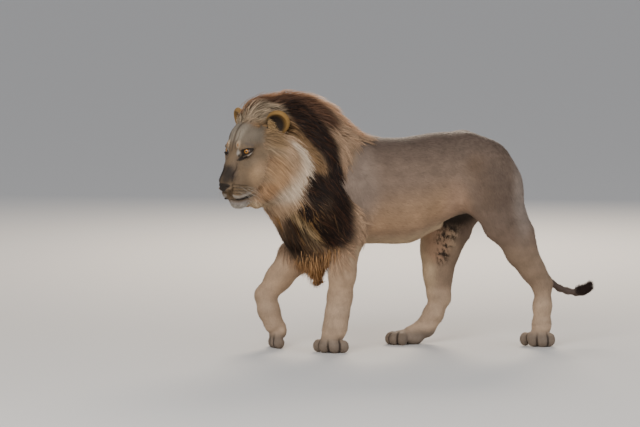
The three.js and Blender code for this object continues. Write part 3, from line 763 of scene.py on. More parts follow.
# place and direction of a comb's strokes through the mane: first on the body's side, then around the head
MANE_STROKES = [
    ((-740, 50, 1170), (0.9, 0, 0.35)), ((-620, 0, 1240), (0.95, 0, 0.3)), ((-480, 0, 1240), (0.9, 0, 0.1)),
    ((-360, 0, 1190), (0.8, 0, -0.45)), ((-230, 0, 1090), (0.85, 0, -0.5)),
    ((-600, 150, 1130), (0.8, 0.1, -0.35)), ((-480, 170, 1050), (0.7, 0.1, -0.65)),
    ((-350, 150, 1050), (0.6, 0.1, -0.75)), ((-480, 190, 900), (0.5, 0.05, -0.85)),
    ((-330, 190, 880), (0.4, 0, -0.9)), ((-480, 200, 780), (0.66, 0, -0.75)),
    ((-400, 190, 640), (0.5, -0.1, -0.82)), ((-620, 80, 820), (0.55, 0.1, -0.8)),
    ((-600, 0, 680), (0.4, 0, -0.9)), ((-440, 0, 480), (0.1, 0, -1)), ((-540, 180, 660), (0.45, 0, -0.89)),
    ((-420, 190, 700), (0.75, 0, -0.66)), ((-330, 190, 620), (0.7, 0, -0.7)),
]
RUFF_STROKES = [
    ((-40, 0, 150), (-0.95, 0, 0.3)), ((-110, 70, 140), (-0.95, 0.1, 0.2)),
    ((-90, 100, 60), (-0.8, 0.3, -0.3)), ((-120, 110, -20), (-0.6, 0.35, -0.65)),
    ((-110, 100, -100), (-0.7, 0.35, -0.55)), ((-90, 70, -170), (-0.7, 0.25, -0.6)),
    ((-50, 30, -240), (-0.4, 0.1, -0.9)), ((-190, 130, -60), (-0.5, 0.2, -0.8)),
]
STROKE_REACH = 105.0
MANE_STROKE, RUFF_STROKE = 1.0, 0.6


def mane_lie(p):
    """The way a comb has drawn the mane at each point, blended from the nearest strokes."""
    strokes = []
    for side in (LEFT, RIGHT):
        on_body, on_ruff = np.array((1, -side, 1)), np.array((1, side, 1))
        strokes += [(at * on_body, way * on_body, MANE_STROKE) for at, way in MANE_STROKES]
        for at, way in RUFF_STROKES:
            strokes.append((from_head(at * on_ruff), way * on_ruff @ HEAD_AXES, RUFF_STROKE))
    total = np.zeros_like(p)
    for at, way, reach in strokes:
        away = np.linalg.norm(p - at, axis=1) / (STROKE_REACH * reach)
        total += np.exp(-away[:, None] ** 2) * unit(way) + 1e-9 * unit(way)
    return unit(total)


def depth_in(p, forms):
    """How far points lie under the outer surface of a group of forms."""
    x, y, z = p.T
    value = np.full(len(p), FAR)
    for form in forms:
        value = join(value, form.distance(x, y, z), form.k)
    return -value


ruff_forms = [on_head(f) for f in ruff]
mane_share = soft_step(-18, 26, depth_in(skin_points, mane))
ruff_share = soft_step(-40, 16, depth_in(skin_points, ruff_forms))
forward, left, upward = head_of(*skin_points.T)
head_points = np.stack([forward, np.abs(left), upward], 1)
HEAD_ENDS = -215
whole_head = [*head_forms, *jaw_forms, on_head(nose_pad)]
head_share = (depth_in(skin_points, whole_head) > -3) & (forward > HEAD_ENDS)
lie = body_lie(skin_points)
lie = np.where(head_share[:, None], face_lie(skin_points), lie)
long_share = np.maximum(mane_share, ruff_share)
lie = unit(lie * (1 - long_share[:, None]) + mane_lie(skin_points) * long_share[:, None])

# ---------------------------------------------------------------- markings
# One set of colours for skin and hair. The body is tawny, greyer on the back and warm or cream below; the
# mane has a red-brown crest, a gold patch behind the ears, a dark band down the neck, and a pale ruff around
# the cheeks.
def named_colour(text):
    """Linear colour from a six-figure screen colour."""
    c = np.array([int(text[i : i + 2], 16) for i in (0, 2, 4)]) / 255
    return np.where(c <= 0.04045, c / 12.92, ((c + 0.055) / 1.055) ** 2.4)


def waver(p, size, seed):
    """A smooth wandering value, mostly between -1 and 1, about as coarse as size."""
    rng = np.random.default_rng(seed)
    total = np.zeros(len(p))
    for _ in range(6):
        way = rng.normal(size=3) / size
        total += np.sin(p @ way * 2.2 + rng.uniform(0, 6.283))
    return total / 3.2


def band(p, stations, soft=0.45):
    """Full inside a run of joined rounds, each (x, y, z, radius), and fading over their edge."""
    best = np.zeros(len(p))
    for a, b in zip(stations, stations[1:]):
        a, b = np.array(a, float), np.array(b, float)
        d = b[:3] - a[:3]
        t = np.clip(((p - a[:3]) @ d) / (d @ d), 0, 1)
        near = np.linalg.norm(p - a[:3] - t[:, None] * d, axis=1) / (a[3] + t * (b[3] - a[3]))
        best = np.maximum(best, 1 - soft_step(1 - soft, 1 + soft, near))
    return best


def patch(p, at, radii, soft=0.45):
    """Full inside an oval and fading over its edge."""
    return 1 - soft_step(1 - soft, 1 + soft, np.linalg.norm((p - np.array(at)) / np.array(radii), axis=1))


def mix(a, b, share):
    share = np.asarray(share)[:, None] if np.ndim(share) else share
    return a * (1 - share) + b * share


def tint(c, colour, share):
    """Lays a colour, written as six figures, over others by a share at each point."""
    return mix(c, named_colour(colour), share)


CLEFT_HEIGHT, CLEFT_WIDTH = 26, 8.0


def patch_across(p, at, way, reach):
    """Full on the flat plane through a place across a way, and fading within a reach of it."""
    way = np.array(way, float)
    away = np.abs((p[:, :2] - at[:2]) @ way) / np.linalg.norm(way)
    return 1 - soft_step(reach * 0.4, reach, away)


def body_colour(p):
    """Tawny flank, greyer back, cream belly, pale legs, and dark spots inside the right thigh; painted shade
    in the shoulder's crease, the flank's hollow, on the thigh, under the belly, between the toes and on the
    paws, and painted light on the shoulder blade and the lower flank.
    """
    x, y, z = p.T
    sided = np.stack([x, np.abs(y), z], 1)
    c = np.tile(named_colour("796556"), (len(p), 1))
    c = tint(c, "54463d", 0.9 * soft_step(840, 1030, z))
    warm_flank = [(-230, 150, 620, 80), (-60, 160, 640, 100), (170, 150, 690, 96), (240, 150, 650, 60)]
    c = tint(c, "ab8763", 0.6 * band(sided, warm_flank, 0.95))
    # painted shade: a dark line down the crease behind the shoulder
    shoulder_crease_shade = [(-262, 160, 1000, 10), (-228, 170, 900, 9), (-222, 170, 640, 8)]
    c = tint(c, "5f5046", 0.65 * band(sided, shoulder_crease_shade, 0.9))
    # painted light: a golden patch where the shoulder blade's bulge catches the light
    c = tint(c, "a5834f", 0.5 * patch(sided, (-275, 160, 975), (22, 60, 60), 0.8))
    between_legs = soft_step(-380, -300, x), soft_step(330, 250, x)
    c = tint(c, "b39a7c", soft_step(585, 530, z - 0.3 * np.maximum(x, 0)) * between_legs[0] * between_legs[1])
    c = tint(c, "857467", 0.7 * patch(sided, (-260, 150, 820), (110, 90, 200)))
    # painted shade: a darker band in the flank's hollow in front of the thigh
    c = tint(c, "65503f", 0.8 * band(sided, [(340, 150, 900, 50), (420, 150, 760, 56)], 0.8))
    # painted shade: the thigh darkened
    c = tint(c, "51433a", 0.88 * band(sided, [(450, 150, 840, 90), (500, 140, 650, 90)], 0.9))
    # painted light: a paler patch on the lower flank before the thigh
    c = tint(c, "a98870", 0.6 * patch(sided, (245, 150, 690), (60, 90, 110), 0.7))
    c = tint(c, "94877d", 0.6 * patch(sided, (570, 100, 720), (60, 120, 210)))
    c = tint(c, "b09377", soft_step(560, 400, z) * soft_step(-200, -260, x))
    c = tint(c, "86705c", soft_step(560, 420, z) * soft_step(160, 220, x))
    c = tint(c, "ae947b", soft_step(330, 200, z))
    # painted shade: the paws are darkened towards the floor
    c = tint(c, "675c52", 0.85 * soft_step(96, 46, z))
    c = tint(c, "9c7a60", 0.8 * band(p, [(150, 100, 680, 70), (215, 70, 600, 60), (200, 60, 470, 60)], 0.5))
    inner = band(p, [(310, 60, 670, 90), (262, 60, 600, 66), (240, 56, 520, 48), (228, 54, 420, 30)], 0.5)
    inner *= soft_step(130, 100, y) * (x < 400)
    # dark spots inside the thigh, and painted shade under the belly that makes their top solid dark
    spots_and_belly_shade = np.maximum(soft_step(0.0, 0.5, waver(p, 17, 3) + 0.6 * waver(p, 7, 9)), soft_step(545, 610, z))
    c = tint(c, "1c110a", inner * spots_and_belly_shade)
    # painted shade: dark clefts between the toes
    for places in (FORE_LEFT_TOES, FORE_RIGHT_TOES, HIND_LEFT_TOES, HIND_RIGHT_TOES):
        for (xa, ya), (xb, yb) in zip(places, places[1:]):
            cleft = np.array(((xa + xb) / 2, (ya + yb) / 2, CLEFT_HEIGHT))
            toe_cleft_shade = patch_across(p, cleft, (xb - xa, yb - ya), CLEFT_WIDTH)
            c = tint(c, "2b211b", 0.95 * patch(p, cleft, (34, 34, 40), 0.4) * toe_cleft_shade)
    tail_run = [
        (585, 0, 720, 16), (604, 0, 640, 30), (636, 0, 515, 28), (675, 0, 425, 27), (735, 0, 328, 27),
        (805, 0, 271, 27), (890, 0, 247, 27), (960, 0, 284, 34),
    ]
    c = tint(c, "54463f", band(p, tail_run, 0.3))
    return tint(c, "2a1e19", soft_step(850, 920, x))


def mane_colour(p, streak):
    """Fawn behind, gold and grey-buff streaks before it, a dark band between them, and a dark chest, with
    painted rim light along the chest's front edge and the crest's rear.
    """
    x, y, z = p.T
    sided = np.stack([x, np.abs(y), z], 1)
    c = np.tile(named_colour("93785f"), (len(p), 1))
    gold = [(-690, 120, 1120, 70), (-600, 150, 1080, 90), (-520, 165, 1000, 90), (-450, 170, 900, 70)]
    c = tint(c, "755b3e", band(sided, gold))
    c = tint(c, "2b1c12", 0.55 * band(sided, gold) * soft_step(0.0, 0.7, streak))
    under_crest = [
        (-700, 50, 1230, 40), (-600, 60, 1250, 50), (-500, 70, 1240, 62), (-430, 80, 1180, 62),
        (-370, 90, 1110, 50),
    ]
    c = tint(c, "3a2318", 0.9 * band(sided, under_crest))
    above_ruff = [(-790, 60, 1140, 52), (-700, 100, 1185, 50), (-610, 125, 1180, 34)]
    c = tint(c, "8c7c66", 0.9 * band(sided, above_ruff))
    above_ruff_streaks = [(-780, 50, 1190, 40), (-680, 90, 1205, 40), (-600, 110, 1190, 34)]
    c = tint(c, "2c1d15", 0.8 * band(sided, above_ruff_streaks) * soft_step(0.0, 0.5, streak))
    crest = [
        (-770, 20, 1190, 36), (-688, 10, 1256, 40), (-575, 0, 1288, 42), (-471, 0, 1272, 46),
        (-380, 0, 1228, 54), (-300, 0, 1150, 66), (-225, 0, 1075, 60),
    ]
    c = tint(c, "a67a58", band(sided, crest, 0.45))
    # paler hair at the crest's rear, made paler still as painted rim light
    crest_end_and_rim_light = [(-420, 0, 1250, 40), (-300, 0, 1160, 60), (-225, 0, 1080, 60)]
    c = tint(c, "bb9474", 0.9 * band(sided, crest_end_and_rim_light, 0.6))
    dark = [
        (-590, 110, 1225, 30), (-545, 120, 1198, 52), (-497, 130, 1150, 64), (-448, 150, 1082, 66),
        (-400, 165, 1000, 56), (-372, 180, 905, 48), (-366, 190, 808, 64), (-354, 190, 713, 84),
        (-358, 180, 600, 104),
    ]
    c = tint(c, "1a0f09", band(sided, dark, 0.3))
    chest = [
        (-488, 170, 870, 50), (-440, 190, 800, 84), (-460, 120, 700, 150), (-450, 0, 590, 170),
        (-430, 0, 480, 100),
    ]
    c = tint(c, "180e08", band(sided, chest, 0.22))
    chest_streaks = [(-600, 150, 770, 60), (-540, 170, 720, 80), (-480, 180, 640, 90), (-430, 160, 540, 80)]
    c = tint(c, "8c6a42", 0.85 * band(sided, chest_streaks, 0.8) * soft_step(0.2, 0.55, streak))
    fan = [(-650, 110, 745, 12), (-590, 160, 700, 18), (-526, 185, 637, 26), (-431, 180, 476, 40)]
    c = tint(c, "a08762", 0.8 * band(sided, fan, 0.7) * soft_step(-0.45, 0.15, streak))
    # painted rim light: a golden band along the chest's front edge
    rim = [(-712, 100, 800, 40), (-668, 90, 730, 26), (-644, 80, 670, 20), (-616, 60, 600, 18)]
    c = tint(c, "8f6638", 0.85 * band(sided, rim))
    return tint(c, "7a5530", patch(sided, (-428, 0, 372), (90, 90, 70)))


def ruff_colour(h):
    """Colour of the cheeks' ruff from forward, distance to the side, and up; its back edge carries painted
    rim light.
    """
    side_on = h * (1, 0, 1)
    c = np.tile(named_colour("a08468"), (len(h), 1))
    c = tint(c, "87745c", 0.85 * soft_step(-160, -96, h[:, 0]) * soft_step(-190, -120, h[:, 2]))
    c = tint(c, "83694a", 0.9 * band(side_on, [(-130, 0, 80, 36), (-130, 0, 40, 34)], 0.6))
    warm_cheek = [(-100, 0, -50, 32), (-112, 0, -110, 44), (-120, 0, -160, 36)]
    c = tint(c, "a97e54", 0.5 * band(side_on, warm_cheek, 0.9))
    # painted rim light: the ruff's back edge made pale cream
    edge = [
        (-196, 0, 30, 12), (-226, 0, -20, 20), (-242, 0, -90, 34), (-208, 0, -165, 40),
        (-150, 0, -225, 34),
    ]
    c = tint(c, "c8b6a0", 0.7 * band(side_on, edge, 0.8))
    c = tint(c, "8a6038", 0.5 * band(side_on, [(-78, 0, -180, 24), (-92, 0, -225, 32)], 0.8))
    return tint(c, "cbb18f", 0.8 * band(h, [(-70, 40, -262, 26), (-130, 60, -250, 40)], 0.6))


EYE_RIM = [(27, 43, -20, 11), (16, 60, -5, 18), (2, 76, 3, 16), (-20, 84, 9, 9)]
TEAR_LINE = [(0, 52, -14, 10), (0, 46, -27, 9), (0, 40, -40, 6)]
LIPS = [(70, 2, -228, 7), (57, 24, -233, 8), (37, 50, -235, 9), (-10, 67, -223, 11), (-52, 79, -205, 13)]


def leather(h):
    """How far points belong to the nose's leather: broad on top, narrowing down to the lip's groove."""
    half_width = 41 - 0.95 * np.clip(-158 - h[:, 2], 0, 38)
    on_pad = patch(h, (96, 0, -174), (30, 46, 27), 0.1) * soft_step(3, -3, h[:, 1] - half_width)
    return np.maximum(on_pad, band(h, [(88, 0, -192, 7), (72, 0, -226, 6)], 0.3))


def face_colour(h):
    """Colour of the face from forward, distance to the side, and up."""
    c = np.tile(named_colour("6c5944"), (len(h), 1))
    c = tint(c, "6a5f51", soft_step(10, 60, h[:, 2]))
    c = tint(c, "6a5a48", 0.7 * patch(h, (-20, 78, -52), (50, 40, 26)))
    c = tint(c, "9f8263", 0.9 * patch(h * (1, 0, 1), (-56, 0, -110), (50, 1, 62)))
    c = tint(c, "8a6038", 0.5 * band(h * (1, 0, 1), [(-74, 0, -176, 18), (-84, 0, -210, 24)], 0.7))
    c = tint(c, "584a3f", 0.8 * band(h, [(20, 18, -36, 20), (44, 16, -80, 24), (62, 14, -112, 28)], 0.5))
    c = tint(c, "17110e", 0.95 * band(h, [(66, 10, -92, 24), (80, 14, -114, 30), (90, 12, -134, 24)], 0.5))
    c = tint(c, "231b17", 0.8 * band(h, [(56, 30, -90, 5), (70, 33, -120, 6), (74, 34, -140, 6)], 0.5))
    brow = h * (0, 1, 1)
    # painted shade: a dark soft line in the crease between the forehead and the hair in front of the ear
    c = tint(c, "4a3b2b", 0.9 * band(h, [(-90, 76, 124, 7), (-104, 100, 90, 8), (-112, 116, 52, 9)], 0.6))
    c = tint(c, "9a8f7e", 0.5 * band(brow, [(0, 22, 60, 14), (0, 26, 110, 20)], 0.6))
    # painted shade: a dark line down the forehead's middle groove
    c = tint(c, "3b2f25", 0.6 * band(brow, [(0, 0, 4, 4), (0, 0, 60, 4), (0, 0, 126, 5)], 0.7))
    brow_lines = [(0, 20, 14, 4), (0, 17, 40, 3), (0, 22, 70, 3), (0, 20, 96, 2)]
    c = tint(c, "46392e", 0.5 * band(brow, brow_lines, 0.7))
    c = tint(c, "b29c80", 0.95 * patch(h, (20, 32, 32), (18, 11, 19)))
    c = tint(c, "8a5526", 0.9 * patch(h, (22, 33, 31), (14, 4, 11)))
    c = tint(c, "9c968e", 0.8 * patch(h, (30, 34, -6), (14, 8, 15)))
    c = tint(c, "5c5148", 0.7 * band(h, [(-2, 62, 34, 9), (-24, 80, 28, 8)]))
    c = tint(c, "b9afa5", 0.9 * band(h, [(22, 56, -33, 4), (6, 74, -24, 5), (-12, 85, -9, 4)], 0.5))
    under_eye = [(24, 52, -42, 4), (8, 72, -36, 4), (-12, 86, -20, 4), (-24, 88, -4, 5)]
    c = tint(c, "2c221c", 0.8 * band(h, under_eye, 0.5))
    c = tint(c, "120c09", np.maximum(band(h, EYE_RIM, 0.16), band(h * (0, 1, 1), TEAR_LINE, 0.3)))
    c = tint(c, "665239", 0.8 * patch(h, (20, 40, -195), (60, 36, 34)))
    upper_lip = [(70, 12, -214, 9), (50, 38, -218, 11), (10, 60, -214, 11), (-24, 68, -204, 8)]
    c = tint(c, "a8a198", 0.6 * band(h, upper_lip, 0.5))
    seen_from_side, on_pad = h * (1, 0, 1), soft_step(14, 22, h[:, 1]) * soft_step(-20, -6, h[:, 0])
    for drop in (-159, -173, -187, -200):
        row = band(seen_from_side, [(70, 0, drop, 2.6), (40, 0, drop - 1, 3.2), (0, 0, drop - 7, 2.0)], 0.5)
        dots = 0.7 + 0.3 * np.sin(h[:, 0] * 0.7 + drop)
        c = tint(c, "2a1f17", 0.85 * row * dots * on_pad)
    c = tint(c, "98908a", 0.95 * band(h, [(34, 0, -264, 22), (-10, 34, -262, 26), (-46, 52, -248, 18)], 0.5))
    c = tint(c, "0d0806", band(h, LIPS, 0.3))
    return tint(c, "0e0908", leather(h))


def ear_colour(h):
    """A gold rim around a dark cup."""
    c = np.tile(named_colour("80602f"), (len(h), 1))
    return tint(c, "120904", patch(h, (-134, 124, 120), (50, 52, 52), 0.2))


def markings(p, mane_part, ruff_part, face_part, ear_part):
    """Colour at points, from how far each belongs to the mane, the ruff, the face and the ears."""
    f, l, u = head_of(*p.T)
    h = np.stack([f, np.abs(l), u], 1)
    c = mix(body_colour(p), face_colour(h), face_part)
    c = mix(c, mane_colour(p, waver(p, 15, 5)), mane_part)
    c = mix(c, ruff_colour(h), ruff_part)
    c = mix(c, ear_colour(h), ear_part)
    return np.clip(c * (1 + 0.10 * waver(p, 26, 1)[:, None] + 0.05 * waver(p, 8, 2)[:, None]), 0, 1)


ear_share = soft_step(-6, 0, depth_in(skin_points, ear_forms)) * (upward > 70)
sided_points = np.stack([skin_points[:, 0], np.abs(skin_points[:, 1]), skin_points[:, 2]], 1)
height = skin_points[:, 2]
over_shoulder = [(-415, 180, 850, 50), (-380, 190, 740, 74), (-365, 180, 640, 88), (-390, 150, 560, 70)]
mane_share = np.maximum(mane_share, band(sided_points, over_shoulder, 0.4) * soft_step(470, 520, height))
crown = [(-62, 0, 150, 34), (-62, 44, 138, 32), (-66, 62, 128, 22)]
mane_share = np.maximum(mane_share, 0.55 * band(head_points, crown, 0.6))
hairline = np.where(upward > 100, soft_step(-64, -20, forward), soft_step(-150, -110, forward))
mane_share *= 1 - hairline * (np.abs(left) < 170)
mane_share *= 1 - ear_share
ruff_share *= 1 - ear_share
face_share = head_share.astype(float)
skin_colours = markings(skin_points, mane_share, ruff_share, face_share, ear_share)


def give_colours(mesh, colours, name="markings"):
    """Sets a colour at each of a mesh's points."""
    mesh.color_attributes.new(name, "FLOAT_COLOR", "POINT")
    values = np.ones((len(colours), 4), np.float32)
    values[:, :3] = colours
    mesh.color_attributes[name].data.foreach_set("color", values.ravel())


give_colours(joined, skin_colours)


def group(name, outputs, inputs):
    """An empty shader node group with the given sockets; returns it with its input and output nodes."""
    tree = bpy.data.node_groups.new(name, "ShaderNodeTree")
    for label, kind, value in inputs:
        socket = tree.interface.new_socket(label, in_out="INPUT", socket_type="NodeSocket" + kind)
        if value is not None:
            socket.default_value = value
    for label, kind in outputs:
        tree.interface.new_socket(label, in_out="OUTPUT", socket_type="NodeSocket" + kind)
    return tree, tree.nodes.new("NodeGroupInput"), tree.nodes.new("NodeGroupOutput")


def hair_colour_group():
    """Varies a marking's colour from hair to hair: fine flecks, and broader sun-bleached and dusty areas."""
    tree, given, out = group(
        "hair_colour",
        [("Color", "Color"), ("Height", "Float")],
        [
            ("Color", "Color", None),
            ("Fleck Size", "Float", 260.0),
            ("Fleck", "Float", 0.3),
            ("Dust", "Float", 0.1),
        ],
    )
    place = tree.nodes.new("ShaderNodeTexCoord")
    fleck = tree.nodes.new("ShaderNodeTexNoise")
    fleck.inputs["Detail"].default_value = 3
    broad = tree.nodes.new("ShaderNodeTexNoise")
    broad.inputs["Scale"].default_value = 9
    link = tree.links.new
    link(place.outputs["Object"], fleck.inputs["Vector"])
    link(place.outputs["Object"], broad.inputs["Vector"])
    link(given.outputs["Fleck Size"], fleck.inputs["Scale"])
    spread = tree.nodes.new("ShaderNodeMath")
    spread.operation = "MULTIPLY_ADD"
    spread.inputs[2].default_value = 1.0
    centred = tree.nodes.new("ShaderNodeMath")
    centred.operation = "SUBTRACT"
    centred.inputs[1].default_value = 0.5
    link(fleck.outputs["Fac"], centred.inputs[0])
    link(centred.outputs[0], spread.inputs[0])
    link(given.outputs["Fleck"], spread.inputs[1])
    scaled = tree.nodes.new("ShaderNodeVectorMath")
    scaled.operation = "SCALE"
    link(given.outputs["Color"], scaled.inputs[0])
    link(spread.outputs[0], scaled.inputs["Scale"])
    dusty = tree.nodes.new("ShaderNodeMix")
    dusty.data_type = "RGBA"
    dusty.inputs["B"].default_value = (*named_colour("a08c78"), 1)
    share = tree.nodes.new("ShaderNodeMath")
    share.operation = "MULTIPLY"
    link(broad.outputs["Fac"], share.inputs[0])
    link(given.outputs["Dust"], share.inputs[1])
    link(share.outputs[0], dusty.inputs["Factor"])
    link(scaled.outputs[0], dusty.inputs["A"])
    link(dusty.outputs["Result"], out.inputs["Color"])
    link(fleck.outputs["Fac"], out.inputs["Height"])
    return tree


HAIR_COLOUR = hair_colour_group()
BUMP_DEPTH = 0.0015


def coat_material(name, roughness, specular, fleck_size, fleck, dust, bump):
    """Skin or hair with the markings' colours, flecked and dusted; bump is how far the flecks stand up."""
    material = bpy.data.materials.new(name)
    material.use_nodes = True
    tree = material.node_tree
    shader = tree.nodes["Principled BSDF"]
    shader.inputs["Roughness"].default_value = roughness
    shader.inputs["Specular IOR Level"].default_value = specular
    marks = tree.nodes.new("ShaderNodeVertexColor")
    marks.layer_name = "markings"
    hair = tree.nodes.new("ShaderNodeGroup")
    hair.node_tree = HAIR_COLOUR
    hair.inputs["Fleck Size"].default_value = fleck_size
    hair.inputs["Fleck"].default_value = fleck
    hair.inputs["Dust"].default_value = dust
    relief = tree.nodes.new("ShaderNodeBump")
    relief.inputs["Strength"].default_value = bump
    relief.inputs["Distance"].default_value = BUMP_DEPTH
    tree.links.new(marks.outputs["Color"], hair.inputs["Color"])
    tree.links.new(hair.outputs["Color"], shader.inputs["Base Color"])
    tree.links.new(hair.outputs["Height"], relief.inputs["Height"])
    tree.links.new(relief.outputs["Normal"], shader.inputs["Normal"])
    return material


joined.materials.append(coat_material("short_coat_skin", 0.7, 0.2, 420, 0.5, 0.1, 0.5))

# ---------------------------------------------------------------- short coat
# Short, close hair covers the trunk, legs, paws and face, and is finest on the face. Each hair is a thin
# three-sided tuft that leaves the skin at a low angle and lies along the coat's direction.
def roots_on_skin(count, density, seed):
    """Places on the skin, spread by a density per vertex: triangle, corner shares."""
    rng = np.random.default_rng(seed)
    a, b, c = (skin_points[triangles[:, i]] for i in range(3))
    area = np.linalg.norm(np.cross(b - a, c - a), axis=1) / 2
    weight = np.cumsum(area * density[triangles].mean(1))
    picks = (np.arange(count) + rng.random(count)) / count * weight[-1]
    which = np.searchsorted(weight, picks)
    s, t = rng.random(count), rng.random(count)
    over = s + t > 1
    s[over], t[over] = 1 - s[over], 1 - t[over]
    return np.minimum(which, len(triangles) - 1), np.stack([1 - s - t, s, t], 1)


class Roots:
    """Where tufts stand: place, normal, lie, colour and the spot on the skin's flat map."""

    def __init__(self, count, density, seed):
        which, shares = roots_on_skin(count, density, seed)
        corners = triangles[which]

        def blend(values):
            return np.einsum("ij,ij...->i...", shares, values[corners])

        self.count, self.blend = count, blend
        self.at, self.normal, self.lie = blend(skin_points), unit(blend(skin_normals)), unit(blend(lie))
        self.map = np.einsum("ij,ijk->ik", shares, loop_places[triangle_loops[which]])
        self.rng = np.random.default_rng(seed + 1000)


# half the size of the patch that each tuft takes on the flat map
MAP_PATCH = 0.0015


def tuft_mesh(name, paths, sides, ups, widths, colours, spots_and_belly_shade, flatness, roundness):
    """Closed three-sided tufts that taper to a point, along paths of (tufts, joints, 3)."""
    tufts, joints, _ = paths.shape
    rings = joints - 1
    ring_shape = ((-0.5, 0), (0.5, 0), (0, flatness))
    wide, side, up = widths[:, :rings, None], sides[:, :rings], ups[:, :rings]
    rows = [paths[:, :rings] + wide * (side * a + up * b) for a, b in ring_shape]
    points = np.concatenate([np.stack(rows, 2).reshape(tufts, rings * 3, 3), paths[:, rings:]], 1)
    faces = [(0, 2, 1)]
    for r in range(rings - 1):
        for i in range(3):
            j = (i + 1) % 3
            low, high = 3 * r, 3 * r + 3
            faces += [(low + i, low + j, high + j), (low + i, high + j, high + i)]
    last = 3 * (rings - 1)
    faces += [(last + i, last + (i + 1) % 3, rings * 3) for i in range(3)]
    faces = np.array(faces)
    per = rings * 3 + 1
    every = (faces[None] + np.arange(tufts)[:, None, None] * per).reshape(-1, 3)
    mesh = mesh_from(name, to_part(points.reshape(-1, 3)), every)
    ring_colours = np.repeat(colours[:, :rings], 3, axis=1)
    give_colours(mesh, np.concatenate([ring_colours, colours[:, rings:]], 1).reshape(-1, 3))
    across = np.array([(-1, 0), (1, 0), (0, 1)] * rings + [(0, 1)], float) * MAP_PATCH
    along = np.repeat(np.arange(joints), [3] * rings + [1]) / rings
    across[:, 1] = (along * 2 - 1) * MAP_PATCH
    flat = (spots_and_belly_shade[:, None] + across[None]).reshape(-1, 2)[every.ravel()]
    mesh.uv_layers.new(name=MAP_NAME)
    mesh.uv_layers[MAP_NAME].uv.foreach_set("vector", flat.astype(np.float32).ravel())
    mesh.shade_smooth()
    shading = [unit(up + side * a) for a in (-roundness, roundness, 0)]
    shading = np.concatenate([np.stack(shading, 2).reshape(tufts, rings * 3, 3), ups[:, rings:]], 1)
    mesh.normals_split_custom_set_from_vertices(shading.reshape(-1, 3))
    piece = bpy.data.objects.new(name, mesh)
    bpy.context.collection.objects.link(piece)
    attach(piece, "root")
    return piece


ROOT_DEPTH = 0.8
SHADE_ON_FACE, SHADE_ON_BODY = 0.15, 0.08


def short_tufts(name, roots, keep, lengths, widths, lift, material):
    """Short hairs that lie almost flat: each leaves the skin at its root and rises by lift at its tip."""
    rng = roots.rng
    flat = unit(roots.lie - np.sum(roots.lie * roots.normal, 1)[:, None] * roots.normal)
    side = np.cross(roots.normal, flat)
    flat = unit(flat + side * rng.normal(0, 0.10, (roots.count, 1)))
    length = lengths * rng.uniform(0.7, 1.25, roots.count)
    rise = lift * rng.uniform(0.6, 1.2, roots.count)
    start = roots.at - roots.normal * ROOT_DEPTH
    middle = roots.at + flat * (length * 0.5)[:, None] + roots.normal * (rise * 0.75)[:, None]
    tip = roots.at + flat * length[:, None] + roots.normal * rise[:, None]
    paths = np.stack([start, middle, tip], 1)
    width = widths * rng.uniform(0.7, 1.2, roots.count)
    wide = np.stack([width, width * 0.8, np.zeros(roots.count)], 1)
    uneven = np.where(roots.blend(face_share) > 0.5, SHADE_ON_FACE, SHADE_ON_BODY)[:, None]
    root_colour = roots.blend(skin_colours) * (1 + rng.normal(0, 1, (roots.count, 1)) * uneven)
    colours = np.clip(np.stack([root_colour * 0.94, root_colour, root_colour * 1.05], 1)[keep], 0, 1)
    sides, ups = np.repeat(side[:, None], 3, 1)[keep], np.repeat(roots.normal[:, None], 3, 1)[keep]
    piece = tuft_mesh(name, paths[keep], sides, ups, wide[keep], colours, roots.map[keep], 0.2, 0.15)
    piece.data.materials.append(material)


bare_share = leather(head_points)
for stations in (EYE_RIM, LIPS):
    bare_share = np.maximum(bare_share, band(head_points, stations, 0.16))
bare_share = np.maximum(bare_share, band(head_points * (0, 1, 1), TEAR_LINE, 0.16))
bare_share *= face_share
LEG_TOP, PAW_TOP, SOLE = 520, 110, 3
MORE_ON_FACE, MORE_ON_LEGS = 3.2, 1.5
coat_depth = np.full(len(skin_points), BODY_COAT)
coat_depth = np.where(height < LEG_TOP, LEG_COAT, coat_depth)
coat_depth = np.where(height < PAW_TOP, PAW_COAT, coat_depth)
coat_depth = np.where(face_share > 0.5, FACE_COAT, coat_depth)
long_share = np.maximum(mane_share, ruff_share)
density = (1 - soft_step(0.6, 0.95, long_share)) * (1 - soft_step(0.3, 0.6, bare_share)) * (1 - ear_share)
density *= np.where(height < SOLE, 0, 1)
density = density * np.where(face_share > 0.5, MORE_ON_FACE, 1.0)
density = density * np.where(height < LEG_TOP, MORE_ON_LEGS, 1.0)
SHORT_COUNT = 60000
roots = Roots(SHORT_COUNT, density, 11)
depth = roots.blend(coat_depth)
# lengths and widths of a hair on the body, on a leg, and on the face or a paw
HAIR_LENGTHS, HAIR_WIDTHS = (17.0, 12.0, 7.5), (3.4, 2.8, 1.8)
LONGER_AT_MANE, WIDER_IF_QUICK = 22, 1.6
on_body, on_leg = depth > 4.5, depth > 3.5
lengths, widths = (np.where(on_body, a, np.where(on_leg, b, c)) for a, b, c in (HAIR_LENGTHS, HAIR_WIDTHS))
lengths = lengths + LONGER_AT_MANE * roots.blend(long_share)
widths = widths * 1.0
short_material = coat_material("short_coat", 0.65, 0.2, 600, 0.2, 0.08, 0.0)
at = roots.at
head_root = roots.blend(face_share) > 0.5
left_side = at[:, 1] < 0
above_legs, on_paws = at[:, 2] > LEG_TOP, at[:, 2] <= PAW_TOP
BETWEEN_LEGS = -100
regions = {
    "coat_head": head_root,
    "coat_trunk_left": ~head_root & above_legs & left_side,
    "coat_trunk_right": ~head_root & above_legs & ~left_side,
    "coat_fore_legs": ~head_root & ~above_legs & ~on_paws & (at[:, 0] < BETWEEN_LEGS),
    "coat_hind_legs": ~head_root & ~above_legs & ~on_paws & (at[:, 0] >= BETWEEN_LEGS),
    "coat_paws": ~head_root & on_paws,
}
